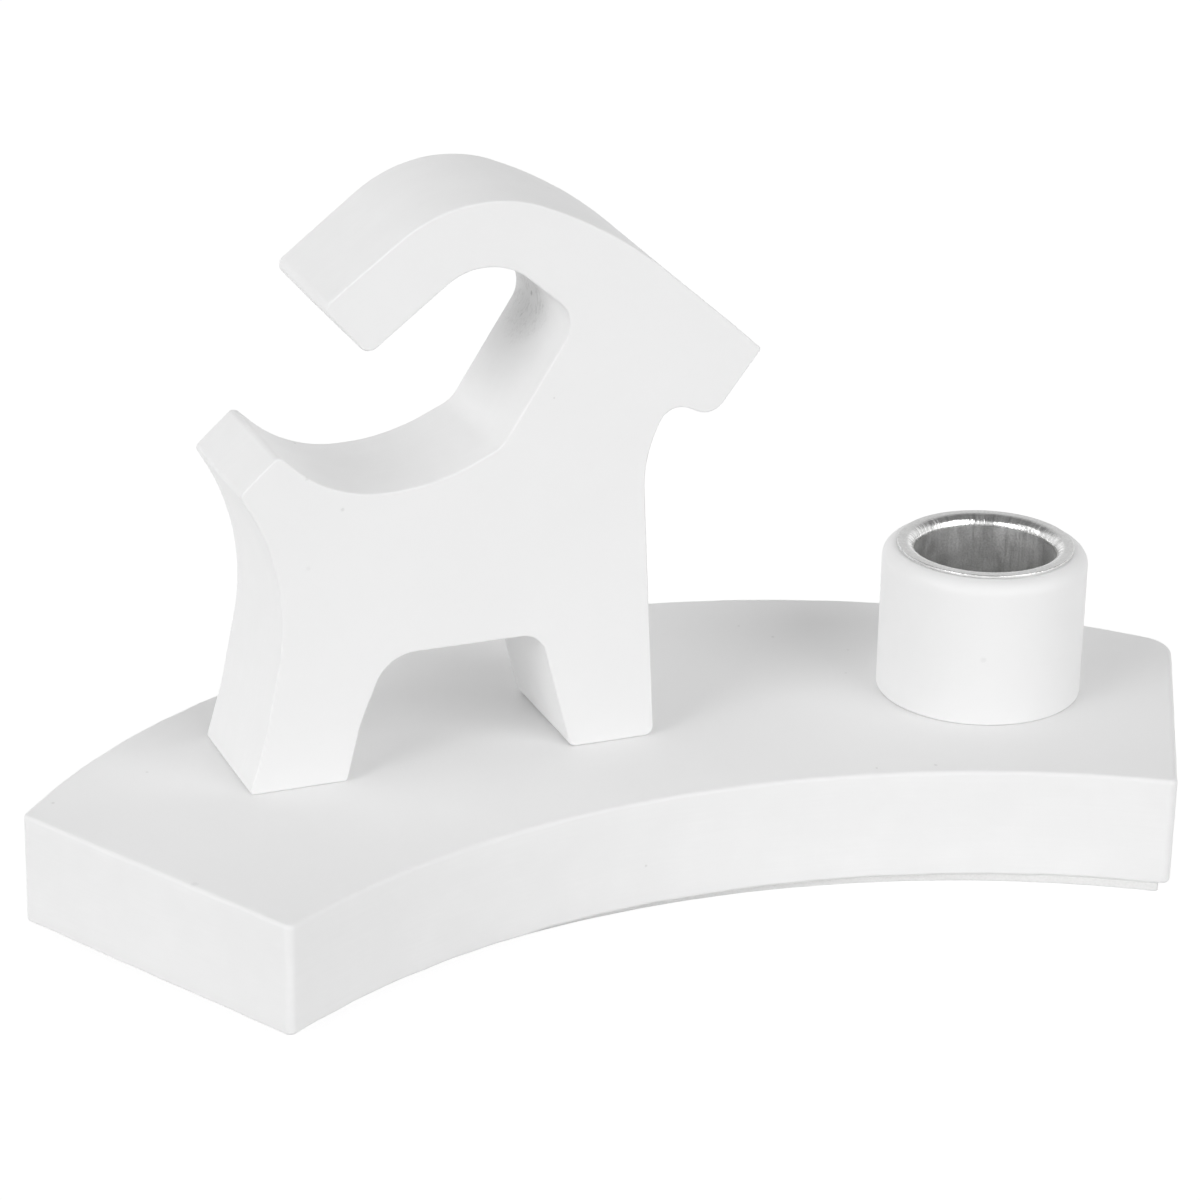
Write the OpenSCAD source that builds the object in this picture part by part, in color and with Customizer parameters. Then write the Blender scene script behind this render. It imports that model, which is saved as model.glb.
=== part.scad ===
// Goat candle holder: a curved painted board that carries a goat figure sawn
// from a thicker board and a turned cup with a drawn metal candle insert.
// X runs along the board, Y away from its hollow front, Z up, in millimetres.
// The origin is the middle of the part's footprint on the table.

/* [Board] */
// Straight distance between the two front corners
board_front_w = 145; // [130:1:160]
// Straight distance between the two rear corners
board_rear_w = 197.8; // [185:0.2:220]
// Depth from a front corner to a rear corner
board_end_d = 49.2; // [44:0.2:56]
// Reach of the hollow front curve behind the front corners
front_bow = 21.7; // [10:0.1:25]
// Reach of the rear curve beyond the rear corners
rear_bow = 46.9; // [40:0.1:60]
// Thickness of the board
board_t = 18; // [15:0.5:24]
// Rounding of the four upright corners
board_corner_r = 1.3; // [0.8:0.1:4]
// Rounding along the top and bottom edges
board_edge_r = 0.7; // [0.2:0.1:1.5]

/* [Pad] */
// Thickness of the foam sheet under the board
pad_t = 1.5; // [1:0.1:3]
// How far the sheet stays inside the board's outline
pad_inset = 2.3; // [1:0.1:6]
// How far the sheet was laid towards the cup
pad_shift_x = 0.6; // [-1:0.1:1]
// How far the sheet was laid towards the front
pad_shift_y = -0.3; // [-1:0.1:1]
// Angle at which the sheet was laid, in degrees
pad_skew = -1.3; // [-2:0.1:2]
// Rounding of the sheet's cut corners
pad_corner_r = 0.5; // [0.3:0.1:2]

/* [Goat figure] */
// Height from the soles to the top of the horns
goat_h = 91.8; // [80:0.1:105]
// Length from the hind heel to the nose
goat_len = 83.5; // [76:0.5:92]
// Thickness of the board that the figure is sawn from
goat_t = 22.9; // [18:0.1:26]
// Length from the hind heel to the front toe
stance = 67; // [62:0.5:72]
// Length of the hind sole
hind_foot = 15.4; // [12:0.2:20]
// Length of the front sole
front_foot = 14.6; // [12:0.2:18]
// Height of the belly above the soles
belly_h = 20.1; // [16:0.1:25]
// How far the inner side of each leg leans in on its way to the belly
leg_lean = 5.8; // [3:0.1:8]
// Rounding between the belly and the hind leg
hind_groin_r = 7; // [3:0.5:9]
// Rounding between the belly and the front leg
front_groin_r = 3.2; // [2:0.1:6]
// Rounding of the front foot's two corners
toe_r = 1.5; // [0.8:0.1:3]
// Rounding of the crisp corners: hind foot, tail and nose
crisp_r = 0.6; // [0.5:0.1:1.5]
// Rounding along the edges of both faces
goat_edge_r = 0.4; // [0.2:0.1:0.8]
// Place of the hind heel, in from the board's left rear corner
goat_from_end = 34.3; // [30:0.1:42]
// Place of the front face, behind the board's front corners
goat_y = 43.8; // [40:0.1:48]

/* [Candle cup] */
// Height of the turned cup
cup_h = 24.4; // [20:0.1:32]
// Wall of the cup
cup_wall = 4.6; // [3.5:0.1:7]
// Thickness of the cup's floor
cup_floor = 3.2; // [2.6:0.1:5]
// Rounding of the cup's top edge
cup_edge_r = 2.3; // [0.5:0.1:3]
// Rounding of the cup's bottom edge
cup_foot_r = 0.4; // [0.2:0.1:1]
// Place of the cup's axis, in from the board's right rear corner
cup_from_end = 38.9; // [34:0.1:46]
// Place of the cup's axis, behind the board's front corners
cup_y = 44.3; // [38:0.1:50]

/* [Candle insert] */
// Inner radius of the insert, for a slim table candle
socket_r = 11.3; // [10.5:0.1:12.5]
// Thickness of the insert's sheet metal
sheet_t = 0.6; // [0.4:0.1:1]
// Width of the insert's flange, from the inner wall to the rim
flange_w = 2.95; // [2.2:0.05:3.6]
// Rounding of the insert's mouth
mouth_r = 0.8; // [0.6:0.1:1.4]
// Rounding between the insert's wall and its floor
bottom_r = 1.2; // [0.6:0.1:3]
// Gap between the insert and the cup's bore
insert_gap = 0.1; // [0.06:0.02:0.3]
// Gap between the insert and the cup's floor
under_gap = 0.5; // [0.3:0.1:2]

/* [Screws] */
// Shank radius of the screws that hold the figure
goat_screw_r = 1.75; // [1.25:0.25:2.5]
// Length of the screws that hold the figure
goat_screw_len = 35; // [28:1:38]
// Shank radius of the screw that holds the cup
cup_screw_r = 1.5; // [1.25:0.25:2]
// Length of the screw that holds the cup
cup_screw_len = 16; // [10:1:17]
// Gap between a screw and the wood round it
screw_gap = 0.05; // [0.02:0.01:0.2]

/* [Hidden] */

// Largest gap between a true curve and its facets, and the coarsest facet
curve_tol = 0.02;
coarsest_step = 12;
// Steps across each rounded edge
edge_steps = 3;
// Overrun of every cut past the face that it opens
over = 1;
$fn = 96;

// Largest part of a straight side that its two roundings may take up
fillet_share = 0.96;
// Largest part of a corner rounding that an edge rounding may take up
ease_share = 0.7;

// A countersunk head, as shares of its screw's shank radius
head_r_share = 1.95;
head_h_share = 1.15;
tip_share = 1.6;
slot_w_share = 0.4;
slot_l_share = 2.3;
slot_d_share = 0.8;

// Depth of the screw heads below the face that they enter
head_recess = 0.2;
// Spare depth below each screw's tip
tip_gap = 0.5;

// Upper outline of the figure: the corners that its curves round off, from
// the rump over the tail, the back, the horns and the head down to the chest.
// Each row is a share of goat_len, a share of goat_h and, for the rounding,
// another share of goat_h. A rounding of zero stands for crisp_r.
goat_upper_shares = [
    [0.089, 0.381, 0.410],   // hollow of the rump
    [-0.011, 0.534, 0],      // lower corner of the tail
    [0.063, 0.598, 0.013],   // tip of the tail
    [0.166, 0.510, 0.233],   // dip behind the tail
    [0.358, 0.512, 0.388],   // middle of the back
    [0.488, 0.566, 0.062],   // foot of the neck
    [0.634, 0.776, 0.053],   // back of the head
    [0.460, 0.912, 0.113],   // hollow of the horns
    [0.224, 0.746, 0.021],   // lower corner of the horn tips
    [0.150, 0.843, 0.024],   // upper corner of the horn tips
    [0.421, 1.036, 0.261],   // crown of the horns
    [0.705, 0.930, 0.746],   // brow
    [1.000, 0.685, 0],       // nose
    [0.905, 0.573, 0.037],   // chin
    [0.818, 0.609, 0.040],   // top of the throat
    [0.768, 0.516, 0.248]    // breast
];

// Vector helpers
function unit(v) = v / norm(v);
function turned_left(v) = [-v[1], v[0]];
function angle_of(v) = atan2(v[1], v[0]);
function at_angle(a) = [cos(a), sin(a)];

// Number of facets for an arc of radius r over a turn, in degrees
function facets(r, turn) =
    let (fine = 2 * acos(max(0, 1 - curve_tol / r)))
    max(1, ceil(abs(turn) / min(coarsest_step, fine)));

// Points of an arc, from angle a0 to angle a1
function arc(c, r, a0, a1) =
    let (n = facets(r, a1 - a0))
    [for (i = [0:n]) c + r * at_angle(a0 + (a1 - a0) * i / n)];

// The turn from direction a to direction b, between -180 and 180 degrees
function turn_of(a, b) =
    let (d = angle_of(b) - angle_of(a))
    d > 180 ? d - 360 : d < -180 ? d + 360 : d;

// Length that a rounding of radius r takes from each side of a corner
function reach(p, c, q, r) = r * tan(abs(turn_of(c - p, q - c)) / 2);

// Rounds the corners of an outline: each is [x, y, radius]. Where the
// roundings of two neighbours need more than their side has, both shrink.
function rounded(corners) =
    let (
        n = len(corners),
        pt = [for (k = corners) [k[0], k[1]]],
        want = [for (i = [0:n - 1])
            reach(pt[(i + n - 1) % n], pt[i], pt[(i + 1) % n], corners[i][2])],
        fit = [for (i = [0:n - 1])
            min(1, fillet_share * norm(pt[(i + 1) % n] - pt[i])
                   / (want[i] + want[(i + 1) % n]))]
    )
    [for (i = [0:n - 1])
        let (
            c = pt[i],
            u = unit(c - pt[(i + n - 1) % n]),
            v = unit(pt[(i + 1) % n] - c),
            t = want[i] * min(fit[i], fit[(i + n - 1) % n]),
            turn = turn_of(u, v),
            side = sign(turn),
            r = t / tan(abs(turn) / 2),
            hub = c - t * u + side * r * turned_left(u),
            a0 = angle_of(-side * turned_left(u))
        )
        each arc(hub, r, a0, a0 + turn)];

// Moves every point of a closed outline inwards by the same distance
function inset(pts, d) =
    let (n = len(pts))
    [for (i = [0:n - 1])
        let (
            a = turned_left(unit(pts[i] - pts[(i + n - 1) % n])),
            b = turned_left(unit(pts[(i + 1) % n] - pts[i]))
        )
        pts[i] + d * (a + b) / (1 + a * b)];

// Twice the signed area between two vectors
function cross_of(a, b) = a[0] * b[1] - a[1] * b[0];

// Tells whether the triangle a, b, c holds the point p
function holds(a, b, c, p) =
    cross_of(b - a, p - a) >= 0 && cross_of(c - b, p - b) >= 0
    && cross_of(a - c, p - c) >= 0;

// Tells whether corner i of a loop of point numbers can be cut off as a
// triangle: it turns left and holds no other point of the loop
function is_ear(pts, loop, i) =
    let (
        n = len(loop),
        a = pts[loop[(i + n - 1) % n]],
        b = pts[loop[i]],
        c = pts[loop[(i + 1) % n]]
    )
    cross_of(b - a, c - b) > 0
    && len([for (j = [2:n - 2]) if (holds(a, b, c, pts[loop[(i + j) % n]])) j]) == 0;

// The first corner of the loop, from corner i on, that can be cut off
function first_ear(pts, loop, i = 0) =
    i >= len(loop) - 1 || is_ear(pts, loop, i) ? i : first_ear(pts, loop, i + 1);

// Splits an anticlockwise loop of point numbers into triangles
function triangles(pts, loop, done = []) =
    len(loop) < 4 ? concat(done, [loop]) :
    let (n = len(loop), i = first_ear(pts, loop))
    triangles(pts, [for (k = [0:n - 1]) if (k != i) loop[k]],
        concat(done, [[loop[(i + n - 1) % n], loop[i], loop[(i + 1) % n]]]));

// A plate of one thickness whose two faces meet its sides in rounded edges
module eased_plate(pts, thick, ease) {
    n = len(pts);
    bend = [for (i = [0:edge_steps]) 90 * i / edge_steps];
    levels = concat(
        [for (a = bend) [ease * (1 - sin(a)), ease * (1 - cos(a))]],
        [for (a = bend) [ease * (1 - cos(a)), thick - ease * (1 - sin(a))]]);
    last = (len(levels) - 1) * n;
    skin = [for (l = levels) each [for (p = inset(pts, l[0])) [p[0], p[1], l[1]]]];
    sides = [for (k = [0:n:last - n]) each [for (i = [0:n - 1])
        let (a = k + i, b = k + (i + 1) % n)
        each [[a, a + n, b + n], [a, b + n, b]]]];
    face = triangles(inset(pts, ease), [for (i = [0:n - 1]) i]);
    back_face = [for (t = face) [last + t[2], last + t[1], last + t[0]]];
    polyhedron(skin, concat(face, sides, back_face));
}

// Board outline
half_front = board_front_w / 2;
half_rear = board_rear_w / 2;
front_r = (half_front * half_front + front_bow * front_bow) / (2 * front_bow);
rear_r = (half_rear * half_rear + rear_bow * rear_bow) / (2 * rear_bow);
front_hub = [0, front_bow - front_r];
rear_hub = [0, board_end_d + rear_bow - rear_r];
end_along = unit([half_rear - half_front, board_end_d]);
end_in = turned_left(end_along);

// Centre of a rounding that touches the right end's line and a curve: the
// point on the line from p along end_along that lies at a distance from a hub
function touch(p, hub, dist) =
    let (w = p - hub, k = w * end_along)
    p + end_along * (sqrt(k * k - w * w + dist * dist) - k);

// Outline of the board, drawn in by gap on every side, with corners of
// radius r. It runs anticlockwise: right end, rear curve, left end, front.
function board_outline(gap, r) =
    let (
        start = [half_front, 0] + (gap + r) * end_in,
        f = touch(start, front_hub, front_r + gap + r),
        b = touch(start, rear_hub, rear_r - gap - r),
        out = angle_of(-end_in),
        f_dir = angle_of(f - front_hub),
        b_dir = angle_of(b - rear_hub),
        right = concat(
            arc(f, r, f_dir - 180, out),
            arc(b, r, out, b_dir)),
        rear = arc(rear_hub, rear_r - gap, b_dir, 180 - b_dir),
        front = arc(front_hub, front_r + gap, 180 - f_dir, f_dir)
    )
    concat(
        right,
        [for (i = [1:len(rear) - 2]) rear[i]],
        [for (i = [len(right) - 1:-1:0]) [-right[i][0], right[i][1]]],
        [for (i = [1:len(front) - 2]) front[i]]);

board_pts = board_outline(0, board_corner_r);
board_lo = min([for (p = board_pts) p[1]]);
board_hi = max([for (p = board_pts) p[1]]);
board_ease = min(board_edge_r, ease_share * board_corner_r);

// Shift that puts the middle of the board's depth on the origin
mid_y = -(board_lo + board_hi) / 2;
// Places of the hind heel and of the cup's axis along the board
goat_x = goat_from_end - half_rear;
cup_x = half_rear - cup_from_end;
// Heights of the board's two faces above the table
board_z = pad_t;
top_z = pad_t + board_t;

// Outline of the figure in its own plane, with the hind heel at zero
leg_corners = [
    [stance, 0, toe_r],
    [stance - front_foot, 0, toe_r],
    [stance - front_foot - leg_lean, belly_h, front_groin_r],
    [hind_foot + leg_lean, belly_h, hind_groin_r],
    [hind_foot, 0, crisp_r],
    [0, 0, crisp_r]
];
upper_corners = [for (s = goat_upper_shares)
    [s[0] * goat_len, s[1] * goat_h, s[2] > 0 ? s[2] * goat_h : crisp_r]];
goat_corners = concat(leg_corners, upper_corners);
goat_pts = rounded([for (i = [len(goat_corners) - 1:-1:0]) goat_corners[i]]);
goat_ease = min(goat_edge_r, ease_share * crisp_r);

// Places of the figure's two screws, in the middle of each sole
goat_screw_x = [goat_x + hind_foot / 2, goat_x + stance - front_foot / 2];
goat_screw_y = goat_y + goat_t / 2;
goat_head_z = board_z + head_recess;

// Cup and insert
insert_r = socket_r + sheet_t;
cup_bore_r = insert_r + insert_gap;
cup_r = cup_bore_r + cup_wall;
flange_r = socket_r + flange_w;
insert_top = cup_h + sheet_t;
insert_low = cup_floor + under_gap;
bend_r = max(mouth_r - sheet_t, 0);
cup_chamfer = bend_r + insert_gap;
cup_head_z = cup_floor - head_recess;

function head_r(r) = head_r_share * r;
function head_h(r) = head_h_share * r;

// A countersunk screw that points up, with its head's flat face at zero
module screw(r, length) {
    difference() {
        rotate_extrude()
            polygon([
                [0, 0], [head_r(r), 0], [r, head_h(r)],
                [r, length - tip_share * r], [0, length]
            ]);
        for (a = [0, 90])
            rotate([0, 0, a])
                translate([-slot_l_share * r / 2, -slot_w_share * r / 2, -over])
                    cube([slot_l_share * r, slot_w_share * r, over + slot_d_share * r]);
    }
}

// The space that a screw needs: its bore, its countersink and the way in
module screw_space(r, length, recess) {
    translate([0, 0, -recess - over])
        cylinder(r = head_r(r) + screw_gap, h = recess + over);
    cylinder(r1 = head_r(r) + screw_gap, r2 = r + screw_gap, h = head_h(r));
    cylinder(r = r + screw_gap, h = length + tip_gap);
}

module goat_screw_places() {
    for (x = goat_screw_x)
        translate([x, mid_y + goat_screw_y, goat_head_z]) children();
}

module cup_place() {
    translate([cup_x, mid_y + cup_y, top_z]) children();
}

module cup_screw_place() {
    cup_place() translate([0, 0, cup_head_z]) rotate([180, 0, 0]) children();
}

// Board of the holder, sawn in a curve, with its bores for the screws
module base_board() {
    color("white")
    difference() {
        translate([0, mid_y, board_z])
            eased_plate(board_pts, board_t, board_ease);
        goat_screw_places() screw_space(goat_screw_r, goat_screw_len, head_recess);
        cup_screw_place() screw_space(cup_screw_r, cup_screw_len, head_recess);
    }
}

// Goat, sawn from one board, with a pilot bore in each foot
module goat_figure() {
    color("white")
    difference() {
        translate([goat_x, mid_y + goat_y + goat_t, top_z])
            rotate([90, 0, 0])
                eased_plate(goat_pts, goat_t, goat_ease);
        goat_screw_places() screw_space(goat_screw_r, goat_screw_len, head_recess);
    }
}

// Turned cup with a blind bore for the insert and a countersunk floor
module candle_cup() {
    color("white")
    cup_place()
    difference() {
        rotate_extrude()
            polygon(concat(
                [[0, 0]],
                arc([cup_r - cup_foot_r, cup_foot_r], cup_foot_r, -90, 0),
                arc([cup_r - cup_edge_r, cup_h - cup_edge_r], cup_edge_r, 0, 90),
                [
                    [cup_bore_r + cup_chamfer, cup_h],
                    [cup_bore_r, cup_h - cup_chamfer],
                    [cup_bore_r, cup_floor],
                    [0, cup_floor]
                ]));
        translate([0, 0, cup_head_z])
            rotate([180, 0, 0])
                screw_space(cup_screw_r, cup_screw_len, head_recess);
    }
}

// Insert drawn from one sheet: flange, rounded mouth, straight wall, floor
module candle_insert() {
    color("silver")
    cup_place()
    rotate_extrude()
        polygon(concat(
            [[0, insert_low]],
            arc([insert_r - bottom_r - sheet_t, insert_low + bottom_r + sheet_t],
                bottom_r + sheet_t, -90, 0),
            bend_r > 0
                ? arc([insert_r + bend_r, cup_h - bend_r], bend_r, 180, 90)
                : [[insert_r, cup_h]],
            [[flange_r, cup_h]],
            [[flange_r, insert_top]],
            arc([socket_r + mouth_r, insert_top - mouth_r], mouth_r, 90, 180),
            arc([socket_r - bottom_r, insert_low + sheet_t + bottom_r],
                bottom_r, 0, -90),
            [[0, insert_low + sheet_t]]));
}

// Thin foam sheet glued under the board, over the screw heads
module base_pad() {
    color("whitesmoke")
    translate([pad_shift_x, pad_shift_y, 0])
        rotate([0, 0, pad_skew])
            translate([0, mid_y, 0])
                linear_extrude(pad_t)
                    polygon(board_outline(pad_inset, pad_corner_r));
}

// Two screws up through the board into the feet
module goat_screws() {
    color("silver")
    goat_screw_places() screw(goat_screw_r, goat_screw_len);
}

// One screw down through the cup's floor into the board
module cup_screw() {
    color("silver")
    cup_screw_place() screw(cup_screw_r, cup_screw_len);
}

base_board();
goat_figure();
candle_cup();
candle_insert();
base_pad();
goat_screws();
cup_screw();
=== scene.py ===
"""Looks of the goat candle holder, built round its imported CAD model.

A curved board painted white carries a goat sawn from a thicker board and a turned cup
with a drawn metal candle insert. Sizes are in millimetres, in the same frame as the CAD
model: X along the board, Y away from its hollow front, Z up from the table.
"""

import logging
import math
from abc import ABC, abstractmethod
from collections.abc import Sequence
from dataclasses import dataclass, field, fields
from enum import Enum

import bpy
import numpy as np
from mathutils import Matrix, Vector

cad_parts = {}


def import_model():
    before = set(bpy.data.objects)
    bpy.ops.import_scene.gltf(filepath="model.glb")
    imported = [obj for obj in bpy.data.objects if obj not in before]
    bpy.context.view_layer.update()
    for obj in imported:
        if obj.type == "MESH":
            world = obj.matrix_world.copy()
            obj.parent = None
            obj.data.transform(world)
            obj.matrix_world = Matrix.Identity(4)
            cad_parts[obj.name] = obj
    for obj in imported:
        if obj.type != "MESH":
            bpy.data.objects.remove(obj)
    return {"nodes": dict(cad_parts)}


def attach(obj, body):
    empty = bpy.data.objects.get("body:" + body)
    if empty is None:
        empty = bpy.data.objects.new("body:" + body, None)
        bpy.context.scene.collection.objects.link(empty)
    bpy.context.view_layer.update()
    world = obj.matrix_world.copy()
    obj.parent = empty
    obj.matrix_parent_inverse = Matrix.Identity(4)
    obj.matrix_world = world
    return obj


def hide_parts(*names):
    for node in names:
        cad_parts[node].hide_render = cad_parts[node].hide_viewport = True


LOG = logging.getLogger("goat_candle_holder")

MM = 0.001
TAU = 2 * math.pi
QUARTER = math.pi / 2
ON_AXIS = 1e-9  # a point of a section with a smaller radius lies on the axis
NOISE_MIDDLE = 0.5  # middle of the values of a noise
MIX_FIRST, MIX_SECOND, MIX_RESULT = 6, 7, 2  # places of a Mix node's colour sockets
WHITE = (1.0, 1.0, 1.0, 1.0)

Rgb = tuple[float, float, float]
Relief = tuple[float, float]  # strength of a bump, and its depth in millimetres
Socket = bpy.types.NodeSocket
Sockets = dict[str, Socket]
Value = float | Sequence[float] | Socket


class Body(Enum):
    """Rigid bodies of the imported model."""

    HOLDER = "holder"
    SOCKET = "socket"


class Slot(Enum):
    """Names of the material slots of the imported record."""

    PAINTED_WOOD = "painted_wood"
    DRAWN_METAL = "drawn_metal"
    FOAM_SHEET = "foam_sheet"


class Layer(Enum):
    """Values that the meshes carry for their finishes."""

    EDGE = "edge"  # 1 in the middle of a softened edge
    SAWN = "sawn"  # 1 on the sawn sides of a plate and on turned faces
    LAY = "lay"  # UV map: along the outline, and across it


# ---------------------------------------------------------------- outlines


@dataclass(frozen=True)
class Corner:
    """One guide corner of an outline, in millimetres."""

    x: float
    y: float
    radius: float  # rounds the corner off


@dataclass(frozen=True)
class CurveSteps:
    """How finely curves become short straight steps."""

    degrees: float = 4.0  # largest turn of one step
    chord: float = 0.004  # largest gap between a curve and its step, in millimetres
    length: float = 1.25  # longest step along an outline, in millimetres

    def arc(self, hub: Sequence[float], radius: float, start: float, turn: float) -> np.ndarray:
        """Points of an arc, both ends included.

        Args:
            hub: Centre of the arc.
            radius: Radius of the arc.
            start: Angle of the first point, in radians.
            turn: Angle that the arc turns through, in radians.

        Returns:
            An array with one point in each row.
        """
        fine = 2 * math.acos(max(0.0, 1 - self.chord / radius))
        count = max(1, math.ceil(abs(turn) / min(math.radians(self.degrees), fine)))
        angles = start + turn * np.arange(count + 1) / count
        return np.asarray(hub) + radius * np.column_stack([np.cos(angles), np.sin(angles)])

    def fill(self, points: np.ndarray) -> np.ndarray:
        """Adds points to the long straight sides of a closed outline.

        Args:
            points: Outline with one point in each row.

        Returns:
            The outline with no side longer than the longest step.
        """
        filled: list[np.ndarray] = []
        for here, there in zip(points, np.roll(points, -1, axis=0)):
            count = max(1, math.ceil(float(np.linalg.norm(there - here)) / self.length))
            filled.extend(here + (there - here) * k / count for k in range(count))
        return np.array(filled)


def turned_left(vector: np.ndarray) -> np.ndarray:
    """Turns a flat vector by a quarter to the left."""
    return np.array([-vector[1], vector[0]])


def unit(vector: np.ndarray) -> np.ndarray:
    """Gives a vector of length one."""
    return vector / np.linalg.norm(vector)


def angle_of(vector: np.ndarray) -> float:
    """Gives the angle of a flat vector, in radians."""
    return math.atan2(vector[1], vector[0])


def rounded(corners: Sequence[Corner], steps: CurveSteps, side_share: float) -> np.ndarray:
    """Rounds the corners of a closed outline.

    Args:
        corners: Guide corners, anticlockwise.
        steps: How finely the roundings are drawn.
        side_share: Largest part of a side that its two roundings may take up.

    Returns:
        An array with one point of the rounded outline in each row.
    """
    points = np.array([[corner.x, corner.y] for corner in corners])
    before = [unit(step) for step in points - np.roll(points, 1, axis=0)]
    after = before[1:] + before[:1]
    turns = [
        (angle_of(there) - angle_of(here) + math.pi) % TAU - math.pi
        for here, there in zip(before, after)
    ]
    want = [c.radius * math.tan(abs(turn) / 2) for c, turn in zip(corners, turns)]
    fit = [
        min(1.0, side_share * float(side) / (here + there))
        for side, here, there in zip(lengths_of(points), want, want[1:] + want[:1])
    ]
    parts = []
    for i in range(len(points)):
        cut = want[i] * min(fit[i], fit[i - 1])
        side = math.copysign(1.0, turns[i])
        radius = cut / math.tan(abs(turns[i]) / 2)
        left = turned_left(before[i])
        hub = points[i] - cut * before[i] + side * radius * left
        parts.append(steps.arc(hub, radius, angle_of(-side * left), turns[i]))
    return np.vstack(parts)


def inset(points: np.ndarray, depth: np.ndarray) -> np.ndarray:
    """Moves the points of a closed anticlockwise outline inwards.

    Args:
        points: Outline with one point in each row.
        depth: How far each point moves.

    Returns:
        The moved outline.
    """
    step = np.roll(points, -1, axis=0) - points
    step /= np.linalg.norm(step, axis=1)[:, None]
    after = np.column_stack([-step[:, 1], step[:, 0]])
    before = np.roll(after, 1, axis=0)
    lean = 1 + (before * after).sum(axis=1)
    return points + depth[:, None] * (before + after) / lean[:, None]


def lengths_of(outline: np.ndarray) -> np.ndarray:
    """Gives the length of each side of a closed outline."""
    return np.linalg.norm(np.roll(outline, -1, axis=0) - outline, axis=1)


def wander(outline: np.ndarray, waves: Sequence[int], seed: int) -> np.ndarray:
    """Draws a smooth hand-made unevenness along a closed outline.

    Args:
        outline: Outline with one point in each row.
        waves: Number of periods of each wave that is added up.
        seed: Start of the random draws.

    Returns:
        One value between about -1 and 1 for each point.
    """
    draw = np.random.default_rng(seed)
    lengths = lengths_of(outline)
    turn = TAU * (np.cumsum(lengths) - lengths) / lengths.sum()
    drift = sum(np.sin(count * turn + draw.uniform(0, TAU)) for count in waves)
    return drift / math.sqrt(len(waves))


# ------------------------------------------------------------------ meshes


def shown(name: str, data: bpy.types.ID) -> bpy.types.Object:
    """Makes an object and puts it into the scene.

    Args:
        name: Name of the object.
        data: Its mesh, lamp or camera.

    Returns:
        The object.
    """
    made = bpy.data.objects.new(name, data)
    bpy.context.scene.collection.objects.link(made)
    return made


@dataclass
class MeshPlan:
    """A mesh in the making, with the values that its finish reads."""

    name: str
    points: list[Sequence[float]] = field(default_factory=list)
    faces: list[Sequence[int]] = field(default_factory=list)
    lay: list[Sequence[Sequence[float]]] = field(default_factory=list)
    layers: dict[Layer, list[float]] = field(default_factory=dict)

    def ring(self, points: Sequence[Sequence[float]], **layers: float) -> list[int]:
        """Adds a row of points.

        Args:
            points: Points in millimetres.
            **layers: Value of these points, by the layer's name in lower case.

        Returns:
            Numbers of the points, with that of the first one again at the end.
        """
        first = len(self.points)
        self.points.extend(points)
        for key, value in layers.items():
            self.layers.setdefault(Layer(key), []).extend([value] * len(points))
        return [*range(first, len(self.points)), first]

    def face(self, corners: Sequence[int], lay: Sequence[Sequence[float]]) -> None:
        """Adds a face with its places on the UV map, in millimetres."""
        self.faces.append(corners)
        self.lay.append(lay)

    def band(
        self, low: Sequence[int], high: Sequence[int], along: Sequence[float],
        across: Sequence[float],
    ) -> None:
        """Adds the faces between two rows of points.

        Args:
            low: Numbers of the lower row's points, the same one all along for a tip.
            high: Numbers of the upper row's points, likewise.
            along: Place of each point along the row on the UV map, in millimetres.
            across: Places of the lower and of the upper row on it.
        """
        v_low, v_high = across
        for i in range(len(low) - 1):
            loop = [
                (low[i], (along[i], v_low)), (low[i + 1], (along[i + 1], v_low)),
                (high[i + 1], (along[i + 1], v_high)), (high[i], (along[i], v_high)),
            ]
            if low[i] == low[i + 1]:
                del loop[1]
            if high[i] == high[i + 1]:
                del loop[-2]
            self.face([corner for corner, _ in loop], [place for _, place in loop])

    def made(self, placed: Matrix) -> bpy.types.Object:
        """Makes the object.

        Args:
            placed: Where the mesh goes, in millimetres.

        Returns:
            The object, with its place in its mesh.
        """
        mesh = bpy.data.meshes.new(self.name)
        scaled = [MM * (placed @ Vector(p)) for p in self.points]
        mesh.from_pydata(scaled, [], self.faces)
        mesh.shade_smooth()
        for layer, values in self.layers.items():
            mesh.attributes.new(layer.value, "FLOAT", "POINT").data.foreach_set("value", values)
        flat = [MM * number for face in self.lay for place in face for number in place]
        mesh.uv_layers.new(name=Layer.LAY.value).data.foreach_set("uv", flat)
        mesh.validate()
        mesh.update()
        return shown(self.name, mesh)


@dataclass(frozen=True)
class Nick:
    """A small dent in an edge, in millimetres."""

    x: float  # place in the outline's plane
    y: float
    width: float  # how far it reaches along the edge
    depth: float  # how much it widens the rounding


@dataclass(frozen=True)
class Lean:
    """A stretch where the saw leaned, so that the upper face ends short of the lower one.

    It lies above a centre in the outline's plane. All its lengths are in millimetres.
    """

    x: float  # place of the centre
    y: float
    reach: float  # how far the stretch goes to both sides
    clear: float  # distance round the centre in which the saw stood upright
    depth: float  # how far the upper face ends short where the outline runs level
    fade: int = 4  # how suddenly it ends, an even power

    def depths(self, outline: np.ndarray) -> np.ndarray:
        """Works out how far the upper face ends short, on the parts that look up.

        Args:
            outline: Outline with one point in each row.

        Returns:
            The depth at each point, in millimetres.
        """
        away = outline - np.array([self.x, self.y])
        outer = (np.linalg.norm(away, axis=1) > self.clear) & (away[:, 1] > 0)
        up = np.clip((outline - inset(outline, np.ones(len(outline))))[:, 1], 0, 1)
        return self.depth * outer * up * np.exp(-((away[:, 0] / self.reach) ** self.fade))


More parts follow.
